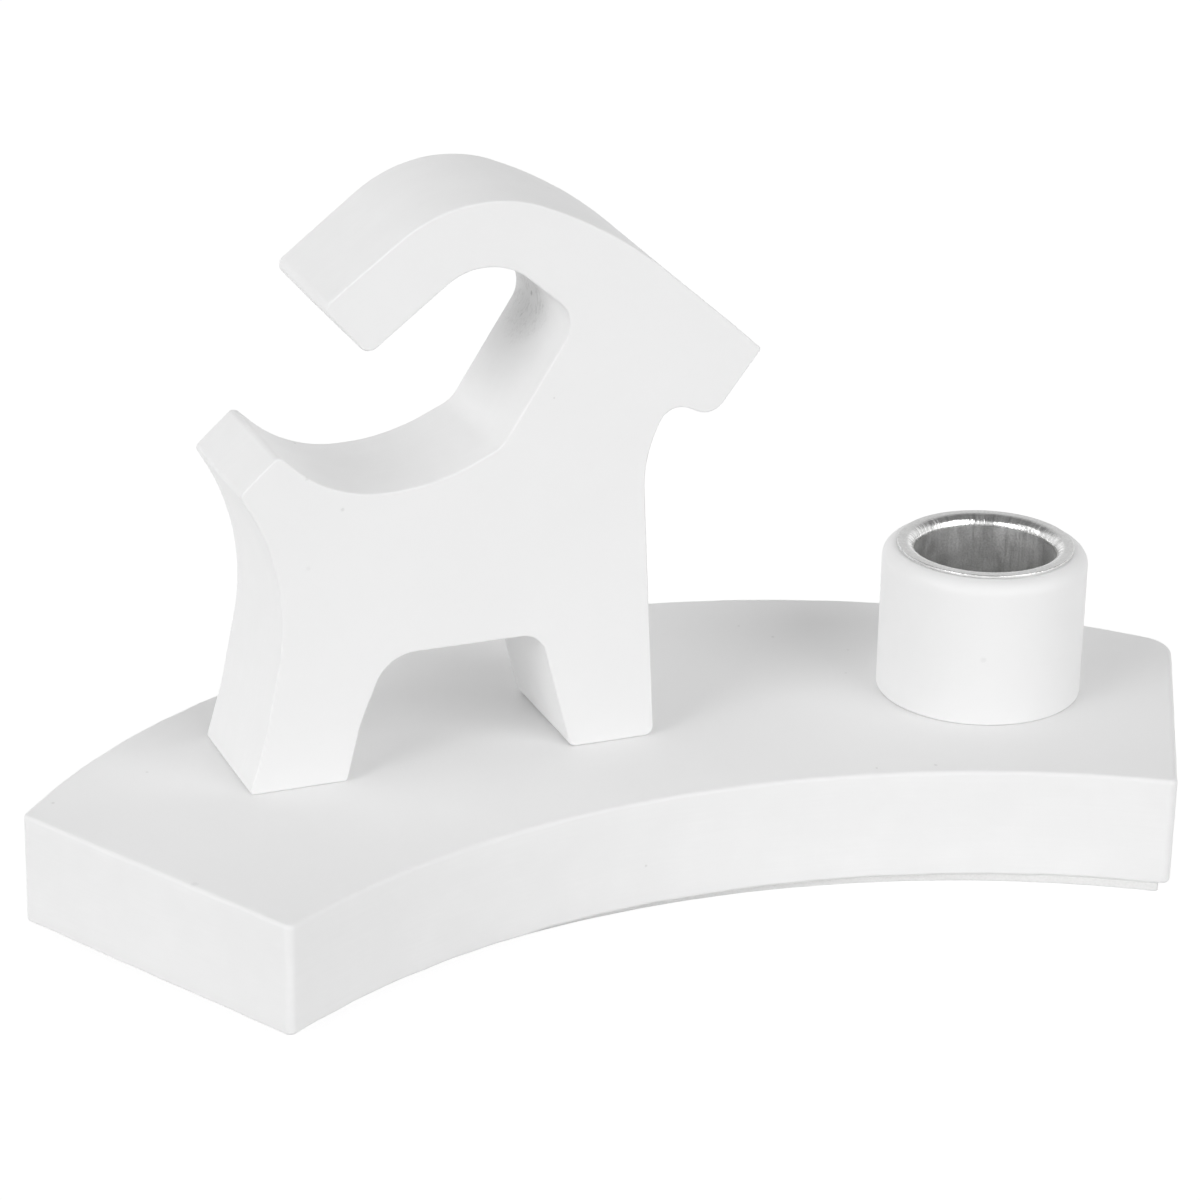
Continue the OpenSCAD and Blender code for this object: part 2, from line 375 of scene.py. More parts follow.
@dataclass(frozen=True)
class SoftEdge:
    """An edge that was sanded by hand."""

    radius: float  # usual radius, in millimetres
    swing: float  # how much the radius varies, as a share of it
    seed: int  # start of the random draws
    waver: float = 0.0  # how far the sawn side wanders in from its outline, in millimetres
    steps: int = 5  # steps across the rounding
    margin: float = 0.15  # strip that keeps the face beside it flat, in millimetres
    nicks: tuple[Nick, ...] = ()  # dents in the edge of the upper face
    lean: Lean | None = None  # where the saw leaned
    waves: tuple[int, ...] = (3, 7, 13, 29, 53)  # periods of each wave round the outline

    def radii(self, outline: np.ndarray, upper: bool) -> np.ndarray:
        """Draws the radius of the rounding along the outline.

        Args:
            outline: Outline with one point in each row.
            upper: Whether the edge is that of the upper face.

        Returns:
            The radius at each point, in millimetres.
        """
        drift = wander(outline, self.waves, self.seed + upper)
        radii = self.radius * (1 + self.swing * np.clip(drift, -1, 1))
        for nick in self.nicks if upper else ():
            away = np.linalg.norm(outline - np.array([nick.x, nick.y]), axis=1)
            radii += nick.depth * np.exp(-((away / nick.width) ** 2))
        return radii

    def sway(self, outline: np.ndarray, share: float) -> np.ndarray:
        """Draws how far the sawn side lies inside the outline.

        Args:
            outline: Outline with one point in each row.
            share: Place across the thickness, 0 at the lower face and 1 at the upper.

        Returns:
            The depth at each point, in millimetres.
        """
        # The seeds follow the two that the radii use.
        low, high = (wander(outline, self.waves, self.seed + k) for k in (2, 3))
        drift = np.clip(low + (high - low) * share, -1, 1)
        depth = self.waver * (1 + drift) / 2
        if self.lean:
            depth += share * self.lean.depths(outline)
        return depth


@dataclass
class SawnPlate:
    """A plate sawn along an outline, with softened edges on both faces."""

    name: str
    outline: np.ndarray  # in millimetres, anticlockwise, one point in each row
    thickness: float  # in millimetres
    edge: SoftEdge
    courses: int = 6  # rows of faces across the sawn side

    def rows(self) -> list[tuple[np.ndarray, np.ndarray, float, float]]:
        """Works out the rows of the skin from the lower face to the upper one.

        Returns:
            For each row its inset, its height at each point, its edge value and its
            value on the sawn side.
        """
        edge, outline, top = self.edge, self.outline, self.thickness
        low, high = (edge.radii(outline, upper) for upper in (False, True))
        foot, head = (edge.sway(outline, share) for share in (0.0, 1.0))
        bends = [QUARTER * k / edge.steps for k in range(edge.steps + 1)]
        curve = [(1 - math.sin(b), 1 - math.cos(b), math.sin(2 * b), math.sin(b)) for b in bends]
        rows = [(foot + low + edge.margin, np.zeros_like(low), 0.0, 0.0)]
        rows += [(foot + low * inwards, low * up, *values) for inwards, up, *values in curve]
        for k in range(1, self.courses):
            share = k / self.courses
            height = low + (top - high - low) * share
            rows.append((edge.sway(outline, share), height, 0.0, 1.0))
        rows += [
            (head + high * inwards, top - high * up, *values)
            for inwards, up, *values in reversed(curve)
        ]
        rows.append((head + high + edge.margin, np.full_like(high, top), 0.0, 0.0))
        return rows

    def plan(self) -> MeshPlan:
        """Plans the mesh.

        Returns:
            The plan, with the plate's lower face in the plane of X and Y.
        """
        plan = MeshPlan(self.name)
        along = np.concatenate([[0.0], np.cumsum(lengths_of(self.outline))])
        rings: list[list[int]] = []
        last: np.ndarray | None = None
        across = 0.0
        for depth, height, edge, sawn in self.rows():
            skin = np.column_stack([inset(self.outline, depth), height])
            rings.append(plan.ring(skin.tolist(), edge=edge, sawn=sawn))
            if last is not None:
                step = float(np.linalg.norm(skin - last, axis=1).mean())
                plan.band(rings[-2], rings[-1], along, (across, across + step))
                across += step
            last = skin
        for loop in (rings[0][-2::-1], rings[-1][:-1]):
            plan.face(loop, [plan.points[k][:2] for k in loop])
        return plan


@dataclass
class TurnedPiece:
    """A piece turned or drawn round an upright axis."""

    name: str
    # Radius and height of each point of its section, in millimetres, in the order that
    # puts the material to the left. The section is closed, or ends on the axis.
    profile: np.ndarray
    closed: bool  # whether the last point joins the first
    sides: int  # steps round the axis
    round_mm: float  # radius that stands for the way round on the UV map

    def plan(self) -> MeshPlan:
        """Plans the mesh.

        Returns:
            The plan, with the piece's axis on Z.
        """
        plan = MeshPlan(self.name)
        turns = TAU * np.arange(self.sides) / self.sides
        ways = np.column_stack([np.cos(turns), np.sin(turns)])
        rings = []
        for radius, height in self.profile:
            tip = radius < ON_AXIS
            points = [(radius * c, radius * s, height) for c, s in ways[: 1 if tip else None]]
            ring = plan.ring(points, sawn=1.0)
            rings.append(ring[:1] * (self.sides + 1) if tip else ring)
        along = TAU * self.round_mm * np.arange(self.sides + 1) / self.sides
        across = np.concatenate([[0.0], np.cumsum(lengths_of(self.profile))])
        for k in range(len(rings) if self.closed else len(rings) - 1):
            plan.band(rings[k], rings[(k + 1) % len(rings)], along, across[k : k + 2])
        return plan


@dataclass(frozen=True)
class ScrewFit:
    """A countersunk screw and the room that it needs, in millimetres."""

    radius: float
    length: float
    head_share: float = 1.95  # radius of its head, as a share of its own
    sink_share: float = 1.15  # height of its head, as a share of its own radius
    gap: float = 0.05  # room round it
    recess: float = 0.2  # how deep its head lies under the surface
    tip: float = 0.5  # room past its tip

    @property
    def bore(self) -> float:
        """Radius of the bore."""
        return self.radius + self.gap

    @property
    def head(self) -> float:
        """Radius of the countersink's wide end."""
        return self.radius * self.head_share + self.gap

    @property
    def sink(self) -> float:
        """Depth of the countersink."""
        return self.radius * self.sink_share

    @property
    def depth(self) -> float:
        """Depth of the bore from the head's face."""
        return self.length + self.tip


@dataclass(frozen=True)
class Bore:
    """A cutting tool for a screw's bore with its countersink."""

    fit: ScrewFit
    foot: tuple[float, float, float]  # middle of the screw head's face, in millimetres
    up: bool  # whether the screw points up from there, or down
    entry: float = 1.2  # length of the way in before the head, in millimetres
    sides: int = 48  # steps round the bore

    def cut(self, piece: bpy.types.Object) -> None:
        """Cuts the bore out of a piece.

        Args:
            piece: The piece, with its mesh in the frame of the CAD model.
        """
        fit = self.fit
        profile = np.array([
            (0.0, -self.entry), (fit.head, -self.entry), (fit.head, 0.0),
            (fit.bore, fit.sink), (fit.bore, fit.depth), (0.0, fit.depth),
        ])
        turn = Matrix.Identity(4) if self.up else Matrix.Rotation(math.pi, 4, "X")
        plan = TurnedPiece("bore_tool", profile, False, self.sides, fit.bore).plan()
        tool = plan.made(Matrix.Translation(self.foot) @ turn)
        change = piece.modifiers.new("bore", "BOOLEAN")
        change.operation, change.solver, change.object = "DIFFERENCE", "EXACT", tool
        graph = bpy.context.evaluated_depsgraph_get()
        bored = bpy.data.meshes.new_from_object(piece.evaluated_get(graph))
        piece.modifiers.clear()
        spare = (piece.data, tool.data)
        piece.data = bored
        bored.name = piece.name
        bpy.data.objects.remove(tool)
        for mesh in spare:
            bpy.data.meshes.remove(mesh)


# ----------------------------------------------------------------- shaders


@dataclass(frozen=True)
class Ramp:
    """Maps one range of values to another, and clamps it."""

    start: float  # first end of the range
    end: float  # last end of the range
    low: float  # what the first end becomes
    high: float  # what the last end becomes


@dataclass
class Graph:
    """Adds nodes to one node tree in few words."""

    tree: bpy.types.NodeTree

    @classmethod
    def of(cls, holder: bpy.types.Material | bpy.types.World) -> "Graph":
        """Empties the node tree of a material or a world.

        Args:
            holder: The material or the world.

        Returns:
            Its graph.
        """
        holder.use_nodes = True
        holder.node_tree.nodes.clear()
        return cls(holder.node_tree)

    def node(
        self, kind: str, values: dict[str | int, Value] | None = None, **settings: object
    ) -> bpy.types.Node:
        """Adds a node.

        Args:
            kind: Blender's name of the node type, without its "ShaderNode" start.
            values: Numbers or sockets for the inputs, by name or by place.
            **settings: Properties of the node.

        Returns:
            The node.
        """
        made = self.tree.nodes.new("ShaderNode" + kind)
        for key, setting in settings.items():
            setattr(made, key, setting)
        for key, value in (values or {}).items():
            self.feed(made.inputs[key], value)
        return made

    def feed(self, target: Socket, value: Value) -> None:
        """Sets an input, or links a socket to it.

        Args:
            target: The input.
            value: Its number, its numbers or the socket that feeds it.
        """
        if isinstance(value, bpy.types.NodeSocket):
            self.tree.links.new(value, target)
        else:
            target.default_value = value

    def math(self, operation: str, *terms: Value) -> Socket:
        """Adds a Math node that works on up to three numbers or sockets."""
        return self.node("Math", dict(enumerate(terms)), operation=operation).outputs[0]

    def noise(self, place: Value, scale: Value, detail: float, rough: float) -> Socket:
        """Adds a noise texture.

        Args:
            place: Place that it is read at.
            scale: Number of its patches in a metre.
            detail: Number of finer layers.
            rough: Strength of each finer layer.

        Returns:
            Its grey value.
        """
        values = {"Vector": place, "Scale": scale, "Detail": detail, "Roughness": rough}
        return self.node("TexNoise", values).outputs[0]

    def centred(self, noise: Socket) -> Socket:
        """Moves the values of a noise so that their middle is zero."""
        return self.math("SUBTRACT", noise, NOISE_MIDDLE)

    def spread(self, value: Value, ramp: Ramp) -> Socket:
        """Maps values by a ramp.

        Args:
            value: The value.
            ramp: The ramp.

        Returns:
            The mapped value.
        """
        values = {
            "Value": value, "From Min": ramp.start, "From Max": ramp.end,
            "To Min": ramp.low, "To Max": ramp.high,
        }
        return self.node("MapRange", values).outputs[0]

    def dimmed(self, color: Value, by: Value) -> Socket:
        """Multiplies a colour by a grey value."""
        return self.node("VectorMath", {0: color, "Scale": by}, operation="SCALE").outputs[0]

    def blend(self, share: Value, first: Value, second: Value) -> Socket:
        """Mixes two colours.

        Args:
            share: Share of the second colour.
            first: First colour.
            second: Second colour.

        Returns:
            The mixture.
        """
        values = {0: share, MIX_FIRST: first, MIX_SECOND: second}
        return self.node("Mix", values, data_type="RGBA").outputs[MIX_RESULT]

    def parts(self, vector: Socket) -> tuple[Socket, ...]:
        """Gives the three parts of a vector."""
        return tuple(self.node("SeparateXYZ", {"Vector": vector}).outputs)


class Kind(Enum):
    """Kinds of a node group's sockets."""

    FLOAT = "NodeSocketFloat"
    VECTOR = "NodeSocketVector"
    COLOR = "NodeSocketColor"


class Effect(ABC):
    """A shader node group that several finishes share, with the numbers of one use.

    The numbers are the fields of the effect, and each of them is an input of the group.
    """

    name: str
    inputs: dict[str, Kind]
    outputs: dict[str, Kind]

    def numbers(self) -> dict[str, float]:
        """Gives the numbers of this use by the names of their inputs."""
        return {item.name.title(): getattr(self, item.name) for item in fields(self)}

    def tree(self) -> bpy.types.NodeTree:
        """Gives the node group, built on first use.

        Returns:
            The node group.
        """
        found = bpy.data.node_groups.get(self.name)
        if found:
            return found
        made = bpy.data.node_groups.new(self.name, "ShaderNodeTree")
        inputs = self.inputs | dict.fromkeys(self.numbers(), Kind.FLOAT)
        for side, sockets in (("INPUT", inputs), ("OUTPUT", self.outputs)):
            for label, kind in sockets.items():
                made.interface.new_socket(label, in_out=side, socket_type=kind.value)
        graph = Graph(made)
        source = made.nodes.new("NodeGroupInput")
        target = made.nodes.new("NodeGroupOutput")
        results = self.build(graph, {s.name: s for s in source.outputs})
        for label, result in results.items():
            graph.feed(target.inputs[label], result)
        return made

    def place(self, graph: Graph, **values: Value) -> Sockets:
        """Puts the group into a material.

        Args:
            graph: The material's graph.
            **values: Numbers or sockets for the group's other inputs, by name.

        Returns:
            The group's outputs by name.
        """
        made = graph.node("Group", node_tree=self.tree())
        for key, value in (self.numbers() | values).items():
            graph.feed(made.inputs[key], value)
        return {s.name: s for s in made.outputs}

    @abstractmethod
    def build(self, graph: Graph, given: Sockets) -> Sockets:
        """Builds the inside of the group.

        Args:
            graph: The group's graph.
            given: The group's inputs by name.

        Returns:
            A socket for each output, by name.
        """


@dataclass(frozen=True)
class Mottle(Effect):
    """Slow change of tone over a surface, and the grain of what covers it."""

    amount: float  # how far the tone changes
    patch: float  # patches of tone in a metre
    grain: float  # grains in a metre

    name = "mottle"
    inputs = {"Place": Kind.VECTOR, "Color": Kind.COLOR}
    outputs = {"Color": Kind.COLOR, "Mask": Kind.FLOAT, "Height": Kind.FLOAT}
    slow = (3.0, 0.5)  # detail and roughness of the tone's noise
    fine = (2.0, 0.6)  # detail and roughness of the grain's noise

    def build(self, graph: Graph, given: Sockets) -> Sockets:
        """Mixes a slow noise for the tone and a fine one for the height.

        Args:
            graph: The group's graph.
            given: The group's inputs by name.

        Returns:
            The coloured tone, its mask and the grain's height.
        """
        slow = graph.noise(given["Place"], given["Patch"], *self.slow)
        factor = graph.math("MULTIPLY_ADD", graph.centred(slow), given["Amount"], 1.0)
        fine = graph.noise(given["Place"], given["Grain"], *self.fine)
        return {"Color": graph.dimmed(given["Color"], factor), "Mask": slow, "Height": fine}


@dataclass(frozen=True)
class Strokes(Effect):
    """Long fine marks in one direction, such as a brush, a saw or a drawing die leaves."""

    along: float  # changes in a metre along the marks
    across: float  # marks in a metre across them

    name = "strokes"
    inputs = {"Lay": Kind.VECTOR}
    outputs = {"Height": Kind.FLOAT, "Mask": Kind.FLOAT}
    fine = (3.0, 0.55)  # detail and roughness of the marks
    patches = (130.0, 2.0, 0.5)  # scale, detail and roughness of where they fade
    kept = Ramp(0.35, 0.7, 0.3, 1.0)  # how much is left of them there

    def build(self, graph: Graph, given: Sockets) -> Sockets:
        """Stretches a noise along the first part of the lay.

        Args:
            graph: The group's graph.
            given: The group's inputs by name.

        Returns:
            The marks' height, and a mask in which they fade in patches.
        """
        along, across, _ = graph.parts(given["Lay"])
        sides = {
            "X": graph.math("MULTIPLY", along, given["Along"]),
            "Y": graph.math("MULTIPLY", across, given["Across"]),
        }
        marks = graph.noise(graph.node("CombineXYZ", sides).outputs[0], 1.0, *self.fine)
        kept = graph.spread(graph.noise(given["Lay"], *self.patches), self.kept)
        return {"Height": marks, "Mask": graph.math("MULTIPLY", marks, kept)}


@dataclass(frozen=True)
class Specks(Effect):
    """A few small pits and dust grains, far apart."""

    density: float  # cells in a metre, each with at most one speck
    share: float  # share of the cells that hold one
    size: float  # largest radius of a speck, as a share of a cell

    name = "specks"
    inputs = {"Place": Kind.VECTOR}
    outputs = {"Mask": Kind.FLOAT}
    sizes = Ramp(0.0, 1.0, 0.4, 1.0)  # smallest and largest, as a share of the size
    rim = Ramp(0.6, 1.0, 1.0, 0.0)  # how a speck fades towards its rim

    def build(self, graph: Graph, given: Sockets) -> Sockets:
        """Marks the middles of some cells of a Voronoi pattern.

        Args:
            graph: The group's graph.
            given: The group's inputs by name.

        Returns:
            The mask of the specks.
        """
        cells = graph.node("TexVoronoi", {"Vector": given["Place"], "Scale": given["Density"]})
        draws = graph.node("SeparateColor", {"Color": cells.outputs["Color"]}).outputs
        chosen = graph.math("LESS_THAN", draws[0], given["Share"])
        size = graph.math("MULTIPLY", given["Size"], graph.spread(draws[1], self.sizes))
        nearness = graph.math("DIVIDE", cells.outputs["Distance"], size)
        return {"Mask": graph.math("MULTIPLY", graph.spread(nearness, self.rim), chosen)}


@dataclass(frozen=True)
class Touch(Effect):
    """A ragged spot round one place, such as a scuff, a chip, or a starved patch with its
    painted shade.
    """

    radius: float  # how far it reaches, in metres
    ragged: float  # how ragged it is

    name = "touch"
    inputs = {"Place": Kind.VECTOR, "Centre": Kind.VECTOR}
    outputs = {"Mask": Kind.FLOAT}
    shake = (2600.0, 3.0, 0.6)  # scale, detail and roughness of what makes it ragged
    fade = Ramp(0.35, 1.0, 1.0, 0.0)  # how it fades towards its radius

    def build(self, graph: Graph, given: Sockets) -> Sockets:
        """Fades with the distance from the centre, disturbed by a noise.

        Args:
            graph: The group's graph.
            given: The group's inputs by name.

        Returns:
            The mask of the spot.
        """
        ends = {0: given["Place"], 1: given["Centre"]}
        way = graph.node("VectorMath", ends, operation="DISTANCE")
        share = graph.math("DIVIDE", way.outputs["Value"], given["Radius"])
        shake = graph.centred(graph.noise(given["Place"], *self.shake))
        share = graph.math("MULTIPLY_ADD", shake, given["Ragged"], share)
        return {"Mask": graph.spread(share, self.fade)}


@dataclass(frozen=True)
class EdgeHighlight(Effect):
    """Mask of a painted highlight along the edges: the edge value of the mesh, broken up by a
    noise.
    """

    scale: float  # patches in a metre
    level: float  # value of the noise that is needed to rub the edge

    name = "edge_rub"
    inputs = {"Place": Kind.VECTOR, "Edge": Kind.FLOAT}
    outputs = {"Mask": Kind.FLOAT}
    patches = (4.0, 0.6)  # detail and roughness of the noise
    fade = Ramp(0.0, 0.12, 0.0, 1.0)  # how softly the rubbed patches begin

    def build(self, graph: Graph, given: Sockets) -> Sockets:
        """Keeps the edge only where the noise is above the level.

        Args:
            graph: The group's graph.
            given: The group's inputs by name.

        Returns:
            The mask of the painted edge highlight.
        """
        noise = graph.noise(given["Place"], given["Scale"], *self.patches)
        kept = graph.spread(graph.math("SUBTRACT", noise, given["Level"]), self.fade)
        return {"Mask": graph.math("MULTIPLY", kept, given["Edge"])}


class Finish(ABC):
    """A finish that a piece can be dressed in."""

    name: str

    def material(self) -> bpy.types.Material:
        """Gives the material, built on first use.

        Returns:
            The material.
        """
        found = bpy.data.materials.get(self.name)
        if found:
            return found
        made = bpy.data.materials.new(self.name)
        graph = Graph.of(made)
        shader = graph.node("BsdfPrincipled", self.paint(graph))
        graph.node("OutputMaterial", {"Surface": shader.outputs[0]})
        return made

    @abstractmethod
    def paint(self, graph: Graph) -> dict[str, Value]:
        """Works out what the Principled BSDF is fed with.

        Args:
            graph: The material's graph.

        Returns:
            Numbers and sockets by the names of its inputs.
        """

    @staticmethod
    def place(graph: Graph) -> Socket:
        """Gives the place on the object, in metres."""
        return graph.node("TexCoord").outputs["Object"]

    @staticmethod
    def lay(graph: Graph) -> Socket:
        """Gives the place on the UV map, in metres."""
        return graph.node("UVMap", uv_map=Layer.LAY.value).outputs[0]

    @staticmethod
    def layer(graph: Graph, layer: Layer) -> Socket:
        """Gives a value that the mesh carries."""
        return graph.node("Attribute", attribute_name=layer.value).outputs["Fac"]

    @staticmethod
    def bump(graph: Graph, layers: Sequence[tuple[Socket, Value, float]]) -> Socket:
        """Lays heights over each other.

        Args:
            graph: The material's graph.
            layers: For each one its height, its strength and its depth in millimetres.

        Returns:
            The normal that comes out of them.
        """
        below: dict[str, Value] = {}
        for height, strength, depth in layers:
            relief = {"Height": height, "Strength": strength, "Distance": depth * MM}
            below = {"Normal": graph.node("Bump", relief | below).outputs[0]}
        return below["Normal"]


@dataclass(frozen=True)
class Mark:
    """A small fault in a finish."""

    place: tuple[float, float, float]  # where it is, in millimetres
    radius: float  # how far it reaches, in millimetres
    tone: float  # how much of the undercoat shows
    ragged: float = 0.9  # how ragged it is

    def mask(self, graph: Graph, place: Socket) -> Socket:
        """Works out the fault's mask.

        Args:
            graph: The material's graph.
            place: Place on the object, in metres.

        Returns:
            The mask, strongest at the fault's centre.
        """
        centre = tuple(number * MM for number in self.place)
        touch = Touch(self.radius * MM, self.ragged).place(graph, Place=place, Centre=centre)
        return graph.math("MULTIPLY", touch["Mask"], self.tone)


@dataclass(frozen=True)
class StarvedPatchAndShade:
    """A patch that the brush could hardly reach, crazed into fine folds and darkened with
    painted shade for the deep corner that it lies in.
    """

    spot: Mark
    thin: float = 0.35  # painted shade: how much darker the patch is painted, for the shade in the corner
    drawn: tuple[float, float, float] = (1.0, 1.0, 0.3)  # the folds are longest upwards
    folds: tuple[float, float, float] = (1100.0, 2.0, 0.5)  # their scale, detail, roughness
    crease: Ramp = Ramp(0.0, 0.06, 1.0, 0.0)  # how narrow they are
    gaps: tuple[float, float, float] = (700.0, 3.0, 0.5)  # scale, detail, roughness
    kept: Ramp = Ramp(0.4, 0.6, 0.1, 1.0)  # how much of a fold is left in a gap
    relief: Relief = (0.6, 0.12)  # of the folds

    def masks(self, graph: Graph, place: Socket) -> tuple[Socket, Socket]:
        """Works out the patch, which also carries the painted shade, and where it is crazed.

        Args:
            graph: The material's graph.
            place: Place on the object, in metres.

        Returns:
            Both masks.
        """
        patch = self.spot.mask(graph, place)
        drawn = graph.node("Mapping", {"Vector": place, "Scale": self.drawn}).outputs[0]
        ridge = graph.math("ABSOLUTE", graph.centred(graph.noise(drawn, *self.folds)))
        kept = graph.spread(graph.noise(place, *self.gaps), self.kept)
        creases = graph.math("MULTIPLY", graph.spread(ridge, self.crease), kept)
        return patch, graph.math("MULTIPLY", creases, patch)


@dataclass(frozen=True)
class WhitePaint(Finish):
    """Matt white paint on sanded wood."""

    name: str
    color: Rgb = (0.875, 0.875, 0.875)
    tone: Mottle = Mottle(amount=0.035, patch=45.0, grain=1300.0)
    grain: Relief = (0.5, 0.008)  # of the paint itself
    brush: Strokes = Strokes(along=90.0, across=2200.0)  # marks on the sawn sides
    strokes: Relief = (0.5, 0.05)  # of these marks
    streak: Ramp = Ramp(0.2, 0.75, -0.03, 0.015)  # what they do to the tone
    streaks: float = 0.6  # how much of that is seen
    # painted highlight: patches along the edges are painted lighter, for the light that catches
    # them
    rub: EdgeHighlight = EdgeHighlight(scale=260.0, level=0.5)
    rubbed: Rgb = (0.885, 0.885, 0.885)  # painted highlight: a lighter colour on the edges, where light catches them
    rub_share: float = 0.35  # how strongly the painted edge highlight shows
    pits: Specks = Specks(density=62.0, share=0.2, size=0.02)
    pit_tone: float = 0.35  # how much of the undercoat shows in them
    marks: tuple[Mark, ...] = ()  # small faults at certain places
    bare: Rgb = (0.42, 0.42, 0.415)  # colour of the undercoat
    dent: Relief = (0.6, 0.08)  # of the pits and the small faults
    starved: StarvedPatchAndShade | None = None
    dull: Ramp = Ramp(0.3, 0.7, 0.5, 0.62)  # roughness, from the mottling
    gloss: float = 0.35  # specular level

    def paint(self, graph: Graph) -> dict[str, Value]:
        """Lays tone, marks, specks, a painted edge highlight and a starved patch with painted
        shade over each other.

        Args:
            graph: The material's graph.

        Returns:
            What the Principled BSDF is fed with.
        """
        place, sawn = self.place(graph), self.layer(graph, Layer.SAWN)
        base = self.tone.place(graph, Place=place, Color=(*self.color, 1.0))
        strokes = self.brush.place(graph, Lay=self.lay(graph))
        streak = graph.math("MULTIPLY", graph.spread(strokes["Mask"], self.streak), self.streaks)
        color = graph.dimmed(base["Color"], graph.math("MULTIPLY_ADD", streak, sawn, 1.0))
        # painted highlight: a lighter colour is blended onto the edges in patches, where light
        # catches them
        rub = self.rub.place(graph, Place=place, Edge=self.layer(graph, Layer.EDGE))
        worn = graph.math("MULTIPLY", rub["Mask"], self.rub_share)
        color = graph.blend(worn, color, (*self.rubbed, 1.0))
        pits = self.pits.place(graph, Place=place)
        faults = graph.math("MULTIPLY", pits["Mask"], self.pit_tone)
        for mark in self.marks:
            faults = graph.math("MAXIMUM", faults, mark.mask(graph, place))
        heights = [
            (base["Height"], *self.grain),
            (graph.math("MULTIPLY", strokes["Height"], sawn), *self.strokes),
        ]
        if self.starved:
            patch, crazed = self.starved.masks(graph, place)
            # painted shade: the starved patch is darkened for the shade in the deep corner of
            # the hook
            corner_shade = graph.math("MULTIPLY_ADD", patch, -self.starved.thin, 1.0)
            color = graph.dimmed(color, corner_shade)
            faults = graph.math("MAXIMUM", faults, crazed)
            heights.append((graph.math("SUBTRACT", 1.0, crazed), *self.starved.relief))
        heights.append((graph.math("SUBTRACT", 1.0, faults), *self.dent))
        return {
            "Base Color": graph.blend(faults, color, (*self.bare, 1.0)),
            "Roughness": graph.spread(base["Mask"], self.dull),
            "Specular IOR Level": self.gloss,
            "Normal": self.bump(graph, heights),
        }


@dataclass(frozen=True)
class DrawnMetal(Finish):
    """Satin sheet metal that was drawn through a die."""

    name: str
    color: Rgb = (0.75, 0.75, 0.745)
    tone: Mottle = Mottle(amount=0.3, patch=420.0, grain=3200.0)
    grain: Relief = (0.8, 0.03)  # of the metal itself
    glint: Ramp = Ramp(0.36, 0.64, 0.92, 1.06)  # what the grain does to the tone
    die: Strokes = Strokes(along=70.0, across=1500.0)  # marks of the die
    drawn: Ramp = Ramp(0.0, 1.0, 0.1, 1.0)  # strength of its marks, wall to bend
    depth: float = 0.1  # of the marks, in millimetres
    streak: Ramp = Ramp(0.0, 1.0, 0.15, 1.2)  # what they do to the tone, wall to bend
    bend_foot: Ramp = Ramp(0.02, 0.2, 0.0, 1.0)  # the bend begins, by how far it faces up
    bend_head: Ramp = Ramp(0.9, 0.995, 1.0, 0.0)  # the bend ends in the flat flange
    dull: Ramp = Ramp(0.8, 1.2, 0.36, 0.46)  # roughness, from marks and mottling
    polish: float = 0.16  # roughness of the bend

    def paint(self, graph: Graph) -> dict[str, Value]:
        """Puts draw marks down the wall, strongest on the bend, and a fine grain all over.

        Args:
            graph: The material's graph.

        Returns:
            What the Principled BSDF is fed with.
        """
        base = self.tone.place(graph, Place=self.place(graph), Color=(*self.color, 1.0))
        around, down, _ = graph.parts(self.lay(graph))
        lay = graph.node("CombineXYZ", {"X": down, "Y": around}).outputs[0]
        marks = self.die.place(graph, Lay=lay)["Height"]
        up = graph.parts(graph.node("TexCoord").outputs["Normal"])[2]
        ends = (graph.spread(up, ramp) for ramp in (self.bend_foot, self.bend_head))
        bend = graph.math("MULTIPLY", *ends)
        strength = graph.spread(bend, self.streak)
        streaks = graph.math("MULTIPLY_ADD", graph.centred(marks), strength, 1.0)
        tone = graph.math("MULTIPLY", streaks, graph.spread(base["Height"], self.glint))
        satin = graph.spread(graph.math("ADD", marks, base["Mask"]), self.dull)
        sheen = graph.math("MULTIPLY", graph.math("SUBTRACT", satin, self.polish), bend)
        drawn = (marks, graph.spread(bend, self.drawn), self.depth)
        return {
            "Base Color": graph.dimmed(base["Color"], tone),
            "Metallic": 1.0,
            "Roughness": graph.math("SUBTRACT", satin, sheen),
            "Normal": self.bump(graph, [drawn, (base["Height"], *self.grain)]),
        }


@dataclass(frozen=True)
class FoamSheet(Finish):
    """Thin white foam with closed cells."""

    name: str
    color: Rgb = (0.82, 0.82, 0.815)
    tone: Mottle = Mottle(amount=0.05, patch=60.0, grain=1800.0)
    grain: Relief = (0.4, 0.02)  # of the foam between its cells
    cells: float = 2200.0  # cells in a metre
    hollow: Ramp = Ramp(0.0, 0.7, 0.0, 1.0)  # rises from the middle of a cell to its wall
    shade: Ramp = Ramp(0.0, 1.0, 0.96, 1.01)  # painted shade in each cell's hollow: tone, from the middle to the wall
    wall: Relief = (0.3, 0.05)  # of the walls
    dull: Ramp = Ramp(0.3, 0.7, 0.72, 0.85)  # roughness, from the mottling
    gloss: float = 0.25  # specular level

    def paint(self, graph: Graph) -> dict[str, Value]:
        """Covers the sheet with small cells, with painted shade darker in their hollow middles.

        Args:
            graph: The material's graph.

        Returns:
            What the Principled BSDF is fed with.
        """
        place = self.place(graph)
        base = self.tone.place(graph, Place=place, Color=(*self.color, 1.0))
        cells = graph.node("TexVoronoi", {"Vector": place, "Scale": self.cells})
        walls = graph.spread(cells.outputs["Distance"], self.hollow)
        heights = [(walls, *self.wall), (base["Height"], *self.grain)]
        return {
            # painted shade: the cells are darker in their hollow middles
            "Base Color": graph.dimmed(base["Color"], graph.spread(walls, self.shade)),
            "Roughness": graph.spread(base["Mask"], self.dull),
            "Specular IOR Level": self.gloss,
            "Normal": self.bump(graph, heights),
        }


